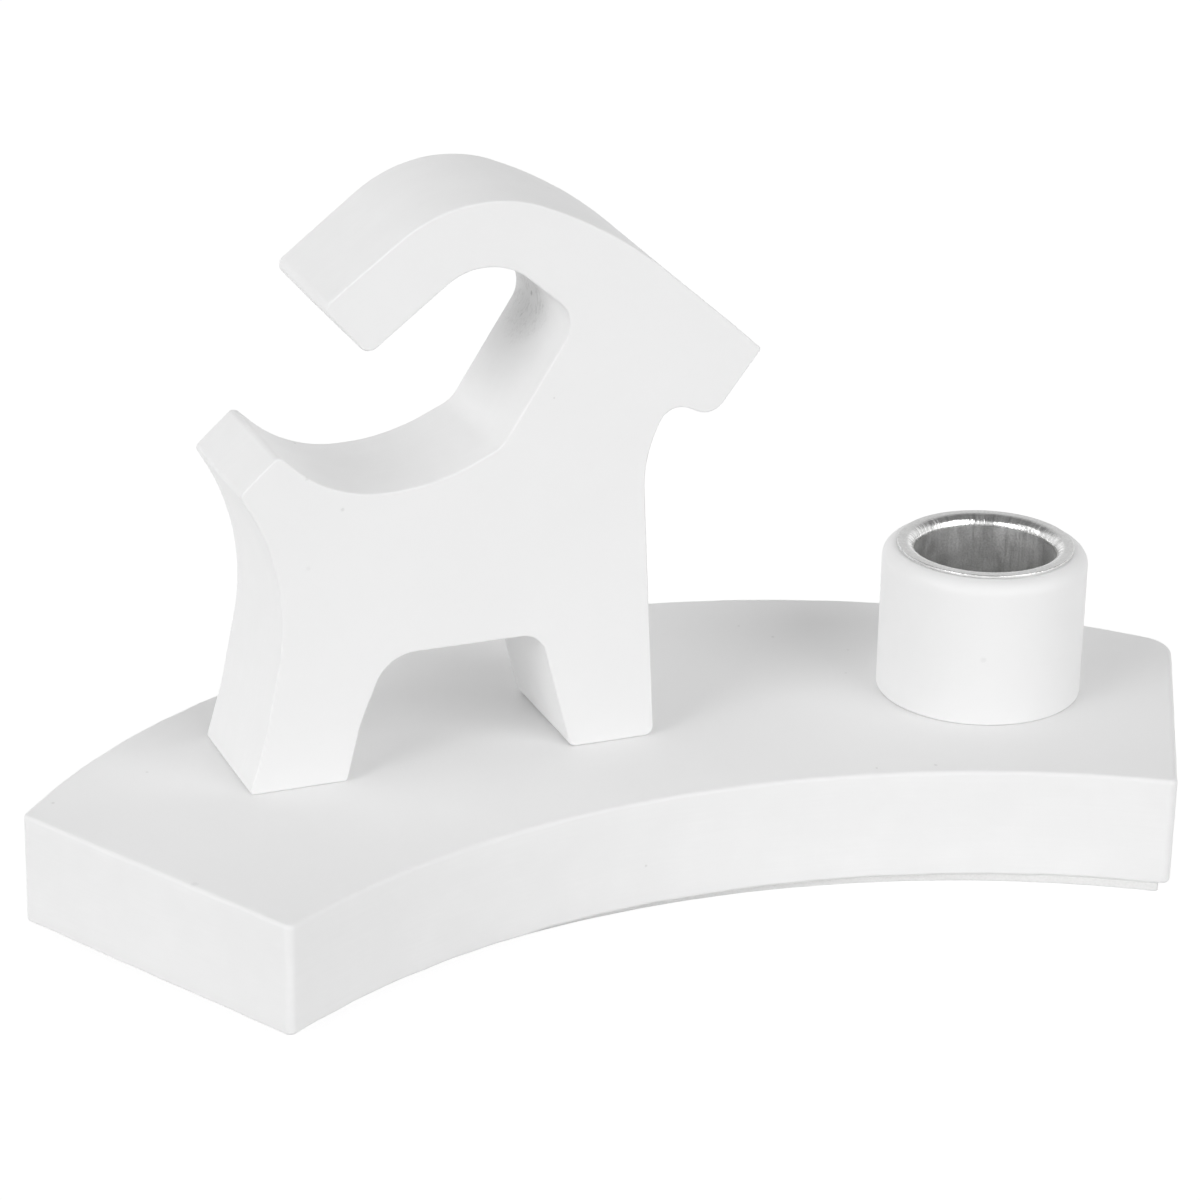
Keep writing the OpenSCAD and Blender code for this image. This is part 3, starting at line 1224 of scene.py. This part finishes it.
@dataclass(frozen=True)
class ZincPlate(Finish):
    """Bright zinc on turned steel screws."""

    name: str
    color: Rgb = (0.66, 0.67, 0.69)
    tone: Mottle = Mottle(amount=0.2, patch=500.0, grain=3000.0)
    grain: Relief = (0.4, 0.01)  # of the plating
    dull: Ramp = Ramp(0.3, 0.7, 0.22, 0.4)  # roughness, from the mottling

    def paint(self, graph: Graph) -> dict[str, Value]:
        """Mottles the plating in its tone, its gloss and its height.

        Args:
            graph: The material's graph.

        Returns:
            What the Principled BSDF is fed with.
        """
        base = self.tone.place(graph, Place=self.place(graph), Color=(*self.color, 1.0))
        return {
            "Base Color": base["Color"],
            "Metallic": 1.0,
            "Roughness": graph.spread(base["Mask"], self.dull),
            "Normal": self.bump(graph, [(base["Height"], *self.grain)]),
        }


# -------------------------------------------------------------- assemblies


class Assembly(ABC):
    """Pieces of the holder that belong together."""

    @abstractmethod
    def build(self) -> list[bpy.types.Object]:
        """Makes the meshes.

        Returns:
            The pieces, in place.
        """

    @abstractmethod
    def dress(self) -> None:
        """Gives the pieces their finish and their body, and hides the CAD nodes that they stand
        for.
        """


def clothe(piece: bpy.types.Object, finish: Finish) -> None:
    """Puts a finish on a piece, in place of whatever it had."""
    piece.data.materials.clear()
    piece.data.materials.append(finish.material())


def tie(piece: bpy.types.Object, body: Body, slot: Slot, *nodes: str) -> None:
    """Ties a piece to the rest of the model.

    Args:
        piece: The piece.
        body: Rigid body that it moves with.
        slot: Material slot of the record; not used.
        *nodes: CAD nodes that it stands for.
    """
    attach(piece, body.value)
    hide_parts(*nodes)


@dataclass
class CurvedBoard(Assembly):
    """The board: a broad strip sawn in a curve, hollow at the front."""

    front_width: float = 145.0  # between its front corners
    rear_width: float = 197.8  # between its rear corners
    end_depth: float = 49.2  # from the front corners back to the rear ones
    front_bow: float = 21.7  # how far the hollow front bends back
    rear_bow: float = 46.9  # how far the full rear bends back
    thickness: float = 18.0
    corner_radius: float = 1.3
    worn_radius: float = 6.5  # of the rear right corner, which is worn round
    edge: SoftEdge = SoftEdge(
        radius=0.7, swing=0.16, seed=11, waver=0.08, nicks=(Nick(-81.2, -30.2, 0.9, 0.35),)
    )
    foot_height: float = 1.5  # height that the foam sheet holds it at
    steps: CurveSteps = CurveSteps()
    finish: Finish = WhitePaint(
        "white_paint_board",
        strokes=(0.5, 0.03),
        marks=(
            Mark((-81.2, -30.2, 19.4), 0.7, 0.16),
            Mark((-93.4, 3.3, 19.5), 0.35, 0.3),
            Mark((-76.9, 9.1, 19.5), 0.3, 0.3),
            Mark((39.6, -29.9, 19.5), 0.4, 0.3),
            Mark((30.4, -27.8, 19.5), 0.25, 0.4),
            Mark((-8.0, -26.9, 8.5), 0.3, 0.3),
            Mark((32.9, 31.2, 19.5), 0.3, 0.3),
            Mark((36.4, 25.0, 19.5), 0.35, 0.3),
            Mark((46.0, 15.8, 19.5), 0.3, 0.25),
            Mark((41.6, 7.3, 19.5), 0.3, 0.25),
        ),
    )
    pieces: list[bpy.types.Object] = field(default_factory=list)

    def outline(self, gap: float, radius: float, worn: float) -> np.ndarray:
        """Draws the outline of the board before it is centred.

        Args:
            gap: How far it is drawn in from the board's own outline.
            radius: Rounding of three of the corners.
            worn: Rounding of the rear right corner.

        Returns:
            Points in millimetres, anticlockwise, front corners at zero depth.
        """
        half_front, half_rear = self.front_width / 2, self.rear_width / 2
        front_r = (half_front**2 + self.front_bow**2) / (2 * self.front_bow)
        rear_r = (half_rear**2 + self.rear_bow**2) / (2 * self.rear_bow)
        front_hub = np.array([0.0, self.front_bow - front_r])
        rear_hub = np.array([0.0, self.end_depth + self.rear_bow - rear_r])
        end_along = unit(np.array([half_rear - half_front, self.end_depth]))
        end_in = turned_left(end_along)
        out, arc = angle_of(-end_in), self.steps.arc

        def touch(hub: np.ndarray, distance: float, rounding: float) -> np.ndarray:
            """Finds the centre of a corner's rounding.

            Args:
                hub: Centre of the arc that the corner meets.
                distance: Distance of the rounding's centre from it.
                rounding: Radius of the rounding.

            Returns:
                The centre.
            """
            start = np.array([half_front, 0.0]) + (gap + rounding) * end_in
            way = start - hub
            along = float(way @ end_along)
            reach = math.sqrt(along**2 - float(way @ way) + distance**2) - along
            return start + end_along * reach

        def end(rear_rounding: float) -> tuple[np.ndarray, float, float]:
            """Draws the right end.

            Args:
                rear_rounding: Rounding of its rear corner.

            Returns:
                Its points, and the directions of its corners from the two hubs.
            """
            front_turn = touch(front_hub, front_r + gap + radius, radius)
            rear_turn = touch(rear_hub, rear_r - gap - rear_rounding, rear_rounding)
            front_dir = angle_of(front_turn - front_hub)
            rear_dir = angle_of(rear_turn - rear_hub)
            skin = np.vstack([
                arc(front_turn, radius, front_dir - math.pi, out - front_dir + math.pi),
                arc(rear_turn, rear_rounding, out, rear_dir - out),
            ])
            return skin, front_dir, rear_dir

        right, front_dir, rear_right = end(worn)
        left, _, rear_left = end(radius)
        rear = arc(rear_hub, rear_r - gap, rear_right, math.pi - rear_left - rear_right)
        front = arc(front_hub, front_r + gap, math.pi - front_dir, 2 * front_dir - math.pi)
        mirrored = left[::-1] * np.array([-1.0, 1.0])
        return self.steps.fill(np.vstack([right, rear[1:-1], mirrored, front[1:-1]]))

    def middle(self) -> float:
        """Depth that the CAD model puts on the origin."""
        depths = self.outline(0.0, self.corner_radius, self.corner_radius)[:, 1]
        return float(depths.min() + depths.max()) / 2

    def top(self) -> float:
        """Height of the board's upper face."""
        return self.foot_height + self.thickness

    def build(self) -> list[bpy.types.Object]:
        """Makes the board.

        Returns:
            The board.
        """
        flat = self.outline(0.0, self.corner_radius, self.worn_radius)
        flat = flat - np.array([0.0, self.middle()])
        plan = SawnPlate("painted_board", flat, self.thickness, self.edge).plan()
        self.pieces = [plan.made(Matrix.Translation((0.0, 0.0, self.foot_height)))]
        return self.pieces

    def dress(self) -> None:
        """Paints the board."""
        clothe(self.pieces[0], self.finish)
        tie(self.pieces[0], Body.HOLDER, Slot.PAINTED_WOOD, "base_board")


@dataclass
class FoamPad(Assembly):
    """The thin sheet under the board, laid a little askew."""

    board: CurvedBoard
    thickness: float = 1.5
    inset: float = 2.3  # how far it is drawn in from the board's outline
    shift: tuple[float, float] = (0.6, -0.3)  # how far it lies off the middle
    skew: float = -1.3  # how far it is turned, in degrees
    corner_radius: float = 0.5
    edge: SoftEdge = SoftEdge(radius=0.2, swing=0.3, seed=23, steps=3, margin=0.1)
    courses: int = 2
    finish: Finish = FoamSheet("white_foam")
    pieces: list[bpy.types.Object] = field(default_factory=list)

    def build(self) -> list[bpy.types.Object]:
        """Makes the sheet.

        Returns:
            The sheet.
        """
        flat = self.board.outline(self.inset, self.corner_radius, self.corner_radius)
        flat = flat - np.array([0.0, self.board.middle()])
        plan = SawnPlate("foam_pad", flat, self.thickness, self.edge, self.courses).plan()
        turned = Matrix.Rotation(math.radians(self.skew), 4, "Z")
        self.pieces = [plan.made(Matrix.Translation((*self.shift, 0.0)) @ turned)]
        return self.pieces

    def dress(self) -> None:
        """Covers the sheet with foam cells."""
        clothe(self.pieces[0], self.finish)
        tie(self.pieces[0], Body.HOLDER, Slot.FOAM_SHEET, "base_pad")


@dataclass
class GoatFigure(Assembly):
    """The goat, sawn from one thick board and standing on the curved one."""

    board: CurvedBoard
    height: float = 91.8
    length: float = 83.5
    thickness: float = 22.9
    stance: float = 67.0  # from the hind heel to the front toe
    hind_foot: float = 15.4  # length of the hind sole
    front_foot: float = 14.6  # length of the front sole
    belly: float = 20.1  # height of the belly
    lean: float = 5.8  # how far the legs' inner edges lean towards each other
    hind_groin: float = 7.0  # rounding behind the belly
    front_groin: float = 4.2  # rounding before the belly
    toe: float = 1.5  # rounding of the front sole's corners
    crisp: float = 0.6  # rounding of the corners that the saw left crisp
    ankle: tuple[float, float, float] = (2.6, 9.0, 60.0)  # corner in the hind leg's rear edge
    hock: tuple[float, float, float] = (17.95, 9.1, 20.0)  # corner in its inner edge
    spread: tuple[float, float] = (0.4, 1.1)  # how far forward that edge is, low and high
    sanded: tuple[float, float] = (0.35, 0.9)  # the same for the front leg's inner edge
    side_share: float = 0.96  # largest part of a side that its two roundings take up
    screw: ScrewFit = ScrewFit(radius=1.75, length=35.0)
    heel_x: float = -64.6  # where the hind heel stands
    face_depth: float = 43.8  # depth of its front face behind the board's front corners
    edge: SoftEdge = SoftEdge(
        radius=0.32, swing=0.05, seed=37, waver=0.03, margin=0.1,
        lean=Lean(x=48.0, y=55.0, reach=24.0, clear=20.0, depth=0.85),
    )
    courses: int = 10
    finish: Finish = WhitePaint(
        "white_paint_goat",
        marks=(
            Mark((-49.8, 17.0, 67.7), 0.3, 0.45),
            Mark((-49.4, -4.5, 64.6), 0.4, 0.25),
            Mark((-54.9, -4.5, 55.8), 0.5, 0.1),
            Mark((-10.0, 12.5, 106.2), 0.35, 0.45),
            Mark((-54.9, -4.4, 70.3), 0.5, 0.2),
            Mark((-13.2, 11.5, 89.8), 0.5, 0.8),
            Mark((-12.6, 10.9, 90.4), 0.35, 0.7),
        ),
        # painted shade in the deep corner of the hook, over its crazed paint
        starved=StarvedPatchAndShade(Mark((-13.2, 11.5, 88.6), 8.0, 0.4, ragged=0.5)),
    )
    steps: CurveSteps = CurveSteps()
    # Guide corners from the tail over the back, the horns and the head to the throat:
    # x in lengths, y and rounding in heights. A rounding of 0 stands for a crisp corner.
    upper: tuple[tuple[float, float, float], ...] = (
        (0.0905, 0.381, 0.410),
        (-0.0122, 0.5355, 0.012),
        (0.063, 0.598, 0.013),
        (0.166, 0.510, 0.233),
        (0.358, 0.512, 0.388),
        (0.488, 0.566, 0.062),
        (0.634, 0.776, 0.053),
        (0.460, 0.912, 0.113),
        (0.2318, 0.7514, 0.021),
        (0.1457, 0.8399, 0.017),
        (0.421, 1.036, 0.261),
        (0.705, 0.930, 0.746),
        (1.000, 0.685, 0.0),
        (0.905, 0.573, 0.037),
        (0.818, 0.609, 0.040),
        (0.768, 0.516, 0.248),
    )
    pieces: list[bpy.types.Object] = field(default_factory=list)

    def corners(self) -> list[Corner]:
        """Works out the guide corners of the figure.

        Returns:
            The corners, anticlockwise, with the hind heel at zero.
        """
        inner = self.stance - self.front_foot
        low, high = self.sanded
        toe, groin = self.spread
        legs = [
            Corner(self.stance, 0.0, self.toe),
            Corner(inner + low, 0.0, self.toe),
            Corner(inner - self.lean + high, self.belly, self.front_groin),
            Corner(self.hind_foot + self.lean + groin, self.belly, self.hind_groin),
            Corner(*self.hock),
            Corner(self.hind_foot + toe, 0.0, self.crisp),
            Corner(0.0, 0.0, self.crisp),
            Corner(*self.ankle),
        ]
        upper = [
            Corner(x * self.length, y * self.height, r * self.height if r else self.crisp)
            for x, y, r in self.upper
        ]
        return (legs + upper)[::-1]

    def build(self) -> list[bpy.types.Object]:
        """Makes the figure.

        Returns:
            The figure.
        """
        flat = self.steps.fill(rounded(self.corners(), self.steps, self.side_share))
        plan = SawnPlate("painted_goat", flat, self.thickness, self.edge, self.courses).plan()
        rear = self.face_depth + self.thickness - self.board.middle()
        upright = Matrix.Rotation(QUARTER, 4, "X")
        placed = Matrix.Translation((self.heel_x, rear, self.board.top())) @ upright
        self.pieces = [plan.made(placed)]
        return self.pieces

    def bores(self) -> list[Bore]:
        """Works out the bores of the two screws, which run up through the board.

        Returns:
            The hind bore and the front one.
        """
        depth = self.face_depth + self.thickness / 2 - self.board.middle()
        height = self.board.foot_height + self.screw.recess
        feet = (self.hind_foot / 2, self.stance - self.front_foot / 2)
        return [Bore(self.screw, (self.heel_x + foot, depth, height), True) for foot in feet]

    def dress(self) -> None:
        """Paints the figure."""
        clothe(self.pieces[0], self.finish)
        tie(self.pieces[0], Body.HOLDER, Slot.PAINTED_WOOD, "goat_figure")


@dataclass
class CandleCup(Assembly):
    """The turned cup and the drawn metal insert that lifts out of it."""

    board: CurvedBoard
    axis_x: float = 60.0  # where its axis stands
    axis_depth: float = 44.3  # behind the board's front corners
    height: float = 24.4
    wall: float = 4.6
    floor: float = 3.2
    shoulder: float = 2.3  # rounding of its upper rim
    foot_round: float = 0.4  # rounding of its foot
    socket_radius: float = 11.3  # inner radius of the insert
    sheet: float = 0.6  # thickness of the insert's metal
    flange: float = 2.95  # width of its flange, from the inner radius
    mouth: float = 0.8  # rounding of the solid's mouth, from which the bend below follows
    drawn_mouth: float = 1.8  # rounding of the mouth that is seen
    heel: float = 1.2  # rounding of the insert's floor
    gap: float = 0.1  # room round the insert
    under: float = 0.5  # room under the insert
    lip: float = 0.12  # rounding of the flange's rim
    undercut: tuple[float, float] = (0.3, 0.22)  # of the rim below, inwards and upwards
    screw: ScrewFit = ScrewFit(radius=1.5, length=16.0)
    sides: int = 192  # steps round the axis
    steps: CurveSteps = CurveSteps(degrees=6.0)
    sharp: float = 35.0  # angle above which an edge stays sharp, in degrees
    paint: Finish = WhitePaint(
        "white_paint_cup", strokes=(0.5, 0.004), streaks=0.15,
        marks=(Mark((52.8, -19.0, 31.0), 0.6, 0.12),),
    )
    metal: Finish = DrawnMetal("satin_metal")
    pieces: list[bpy.types.Object] = field(default_factory=list)

    def cup_profile(self) -> np.ndarray:
        """Draws the section of the cup, from the screw's bore out and round to it again.

        Returns:
            Radius and height of each point.
        """
        bore = self.socket_radius + self.sheet + self.gap
        outer = bore + self.wall
        chamfer = max(self.mouth - self.sheet, 0.0) + self.gap
        foot, shoulder, arc = self.foot_round, self.shoulder, self.steps.arc
        screw, sink_top = self.screw, self.floor - self.screw.recess
        return np.vstack([
            [(screw.bore, 0.0)],
            arc((outer - foot, foot), foot, -QUARTER, QUARTER),
            arc((outer - shoulder, self.height - shoulder), shoulder, 0.0, QUARTER),
            [
                (bore + chamfer, self.height),
                (bore, self.height - chamfer),
                (bore, self.floor),
                (screw.head, self.floor),
                (screw.head, sink_top),
                (screw.bore, sink_top - screw.sink),
            ],
        ])

    def insert_profile(self) -> np.ndarray:
        """Draws the section of the insert, from under its floor round to the floor.

        Returns:
            Radius and height of each point.
        """
        inner, outer = self.socket_radius, self.socket_radius + self.sheet
        low, top = self.floor + self.under, self.height + self.sheet
        bend = max(self.mouth - self.sheet, 0.0)
        rim = inner + self.flange
        big, heel, lip, mouth = self.heel + self.sheet, self.heel, self.lip, self.drawn_mouth
        arc = self.steps.arc
        return np.vstack([
            [(0.0, low)],
            arc((outer - big, low + big), big, -QUARTER, QUARTER),
            arc((outer + bend, self.height - bend), bend, math.pi, -QUARTER),
            [(rim - self.undercut[0], self.height), (rim, self.height + self.undercut[1])],
            arc((rim - lip, top - lip), lip, 0.0, QUARTER),
            arc((inner + mouth, top - mouth), mouth, QUARTER, QUARTER),
            arc((inner - heel, low + self.sheet + heel), heel, 0.0, -QUARTER),
            [(0.0, low + self.sheet)],
        ])

    def axis_at(self, height: float) -> tuple[float, float, float]:
        """Gives a place on the cup's axis, at a height above the board."""
        depth = self.axis_depth - self.board.middle()
        return (self.axis_x, depth, self.board.top() + height)

    def bore(self) -> Bore:
        """Gives the screw's bore, which runs down into the board."""
        return Bore(self.screw, self.axis_at(self.floor - self.screw.recess), False)

    def build(self) -> list[bpy.types.Object]:
        """Makes the cup and the insert.

        Returns:
            Both pieces.
        """
        outer = self.socket_radius + self.sheet + self.gap + self.wall
        turned = (
            TurnedPiece("painted_cup", self.cup_profile(), True, self.sides, outer),
            TurnedPiece(
                "metal_insert", self.insert_profile(), False, self.sides, self.socket_radius
            ),
        )
        placed = Matrix.Translation(self.axis_at(0.0))
        self.pieces = [piece.plan().made(placed) for piece in turned]
        for piece in self.pieces:
            piece.data.set_sharp_from_angle(angle=math.radians(self.sharp))
        return self.pieces

    def dress(self) -> None:
        """Paints the cup and gives the insert its drawn metal."""
        cup, insert = self.pieces
        clothe(cup, self.paint)
        clothe(insert, self.metal)
        tie(cup, Body.HOLDER, Slot.PAINTED_WOOD, "candle_cup")
        tie(insert, Body.SOCKET, Slot.DRAWN_METAL, "candle_insert")


@dataclass
class Screws(Assembly):
    """The screws, kept as the CAD model has them, and the bores that they run in."""

    nodes: dict[str, bpy.types.Object]  # the CAD model's objects
    goat: GoatFigure
    cup: CandleCup
    finish: Finish = ZincPlate("bright_zinc")
    names: tuple[str, ...] = ("goat_screws", "cup_screw")
    sharp: float = 35.0  # angle above which a bored edge stays sharp, in degrees

    def build(self) -> list[bpy.types.Object]:
        """Cuts the bores, and leaves the screws as they are.

        Returns:
            The screws.
        """
        board, goat = self.goat.board.pieces[0], self.goat.pieces[0]
        for bore in self.goat.bores():
            bore.cut(board)
            bore.cut(goat)
        self.cup.bore().cut(board)
        for piece in (board, goat):
            piece.data.set_sharp_from_angle(angle=math.radians(self.sharp))
        return [self.nodes[name] for name in self.names]

    def dress(self) -> None:
        """Plates the screws."""
        for name in self.names:
            for place in self.nodes[name].material_slots:
                place.material = self.finish.material()


# ------------------------------------------------------------------ studio


def towards(azimuth: float, elevation: float) -> Vector:
    """Gives the way to a camera or a lamp, from its angles in degrees."""
    az, el = math.radians(azimuth), math.radians(elevation)
    return Vector((math.sin(az) * math.cos(el), -math.cos(az) * math.cos(el), math.sin(el)))


@dataclass(frozen=True)
class Viewpoint:
    """The photograph's camera."""

    azimuth: float = -22.53  # turn round the object, in degrees, 0 at the front
    elevation: float = 22.76  # height above the horizon, in degrees
    roll: float = -1.19  # turn about the line of sight, in degrees
    distance: float = 709.7  # from the target, in millimetres
    target: tuple[float, float, float] = (15.08, 49.47, 19.5)  # middle of the picture
    lens: float = 124.71  # focal length, in millimetres
    sensor: float = 36.0  # width of the picture behind the lens, in millimetres
    clip: tuple[float, float] = (0.01, 20.0)  # nearest and farthest in view, in metres

    def place(self) -> None:
        """Makes the scene's camera."""
        back, roll = towards(self.azimuth, self.elevation), math.radians(self.roll)
        across = (-back).cross(Vector((0.0, 0.0, 1.0))).normalized()
        down = (-back).cross(across)
        right = math.cos(roll) * across + math.sin(roll) * down
        up = math.sin(roll) * across - math.cos(roll) * down
        data = bpy.data.cameras.new("photo_camera")
        data.sensor_width, data.lens = self.sensor, self.lens
        data.clip_start, data.clip_end = self.clip
        camera = shown("photo_camera", data)
        turn = Matrix((right, up, back)).transposed().to_4x4()
        eye = (Vector(self.target) + self.distance * back) * MM
        camera.matrix_world = Matrix.Translation(eye) @ turn
        bpy.context.scene.camera = camera


@dataclass(frozen=True)
class Softbox:
    """A large soft lamp, far away."""

    name: str
    azimuth: float  # direction that it stands in, in degrees, as for the camera
    elevation: float  # height above the horizon, in degrees
    spread: float  # how wide it looks from the object, in degrees
    strength: float  # light that it throws on a surface that faces it

    def place(self) -> None:
        """Makes the lamp, turned to the object."""
        data = bpy.data.lights.new(self.name, "SUN")
        data.angle, data.energy = math.radians(self.spread), self.strength
        lamp = shown(self.name, data)
        lamp.rotation_mode = "QUATERNION"
        lamp.rotation_quaternion = towards(self.azimuth, self.elevation).to_track_quat("Z", "Y")


@dataclass
class Studio:
    """A pale table, white walls with a lit backdrop, and soft lamps.

    Heights in the surround are sines, 0 at the horizon and 1 overhead.
    """

    view: Viewpoint = Viewpoint()
    lamps: tuple[Softbox, ...] = (
        Softbox("front_softbox", 24.0, 25.5, 50.0, 1.57),
        Softbox("left_softbox", -66.0, 21.0, 30.0, 1.16),
        Softbox("left_fill", -102.0, 26.0, 40.0, 0.38),
    )
    walls: float = 0.34  # light from the walls on both sides
    backdrop: float = 2.35  # light from the wall behind the object
    ceiling: float = 0.73  # light from above
    ceiling_seen: float = 0.25  # how bright the ceiling looks in the metal
    wall_top: tuple[float, float] = (0.25, 0.6)  # where the walls' light fades and ends
    gloss_edge: tuple[float, float] = (0.42, 0.7)  # where what the metal mirrors darkens
    ceiling_edge: tuple[float, float] = (0.6, 0.95)  # where the ceiling begins and is full
    table: float = 0.82  # lightness of the table for the light that it throws back
    table_glow: float = 0.93  # how white it looks where no light falls on it
    table_shade: float = 0.12  # how much lighter the lamps make it look
    table_size: float = 6.0  # in metres

    def split(self, graph: Graph, light: Socket, looks: Socket) -> Socket:
        """Gives the rays that should meet a white background a shader of their own.

        Args:
            graph: The graph of the world or the table.
            light: Shader that lights the object.
            looks: Shader that is seen, also in gloss and through glass.

        Returns:
            The mixed shader.
        """
        path = graph.node("LightPath").outputs
        seen = graph.math("MAXIMUM", path["Is Camera Ray"], path["Is Glossy Ray"])
        seen = graph.math("MAXIMUM", seen, path["Is Transmission Ray"])
        return graph.node("MixShader", {"Fac": seen, 1: light, 2: looks}).outputs[0]

    def world(self) -> None:
        """Makes the surround: white walls to look at, and a soft light that fades upwards."""
        world = bpy.data.worlds.new("studio")
        bpy.context.scene.world = world
        graph = Graph.of(world)
        across, behind, height = graph.parts(graph.node("TexCoord").outputs["Generated"])
        behind = graph.math("MAXIMUM", behind, 0.0)
        back = graph.math("MULTIPLY", graph.math("POWER", behind, 2.0), self.backdrop)
        sides = graph.math("MULTIPLY", graph.math("MULTIPLY", across, across), self.walls)
        kept = graph.spread(height, Ramp(*self.wall_top, 1.0, 0.0))
        walls = graph.math("MULTIPLY", graph.math("ADD", back, sides), kept)
        above = graph.spread(height, Ramp(*self.ceiling_edge, 0.0, self.ceiling))
        looks = graph.spread(height, Ramp(*self.gloss_edge, 1.0, self.ceiling_seen))
        shaders = [
            graph.node("Background", {"Color": WHITE, "Strength": level}).outputs[0]
            for level in (graph.math("ADD", walls, above), looks)
        ]
        graph.node("OutputWorld", {"Surface": self.split(graph, *shaders)})

    def floor(self) -> None:
        """Makes the table, which looks white and keeps a trace of the shadow."""
        half = self.table_size / 2
        mesh = bpy.data.meshes.new("table")
        corners = [(x * half, y * half, 0.0) for x, y in ((-1, -1), (1, -1), (1, 1), (-1, 1))]
        mesh.from_pydata(corners, [], [(0, 1, 2, 3)])
        floor = shown("table", mesh)
        made = bpy.data.materials.new("pale_table")
        graph = Graph.of(made)
        plain, trace = (
            graph.node("BsdfDiffuse", {"Color": (tone, tone, tone, 1.0)}).outputs[0]
            for tone in (self.table, self.table_shade)
        )
        glow = graph.node("Emission", {"Color": WHITE, "Strength": self.table_glow})
        both = graph.node("AddShader", {0: trace, 1: glow.outputs[0]})
        graph.node("OutputMaterial", {"Surface": self.split(graph, plain, both.outputs[0])})
        mesh.materials.append(made)

    def build(self) -> None:
        """Makes the whole studio."""
        self.view.place()
        self.world()
        self.floor()
        for lamp in self.lamps:
            lamp.place()
        bpy.context.scene.view_settings.view_transform = "Standard"


def main(frame: dict) -> None:
    """Builds and dresses the holder in its studio.
    """
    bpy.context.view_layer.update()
    Studio().build()
    board = CurvedBoard()
    goat, cup = GoatFigure(board), CandleCup(board)
    parts: list[Assembly] = [board, FoamPad(board), goat, cup, Screws(frame["nodes"], goat, cup)]
    for part in parts:
        for piece in part.build():
            LOG.info("built %s with %d points", piece.name, len(piece.data.vertices))
    for part in parts:
        part.dress()


if __name__ == "__main__":
    logging.basicConfig(level=logging.INFO, format="%(name)s: %(message)s")
    main(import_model())
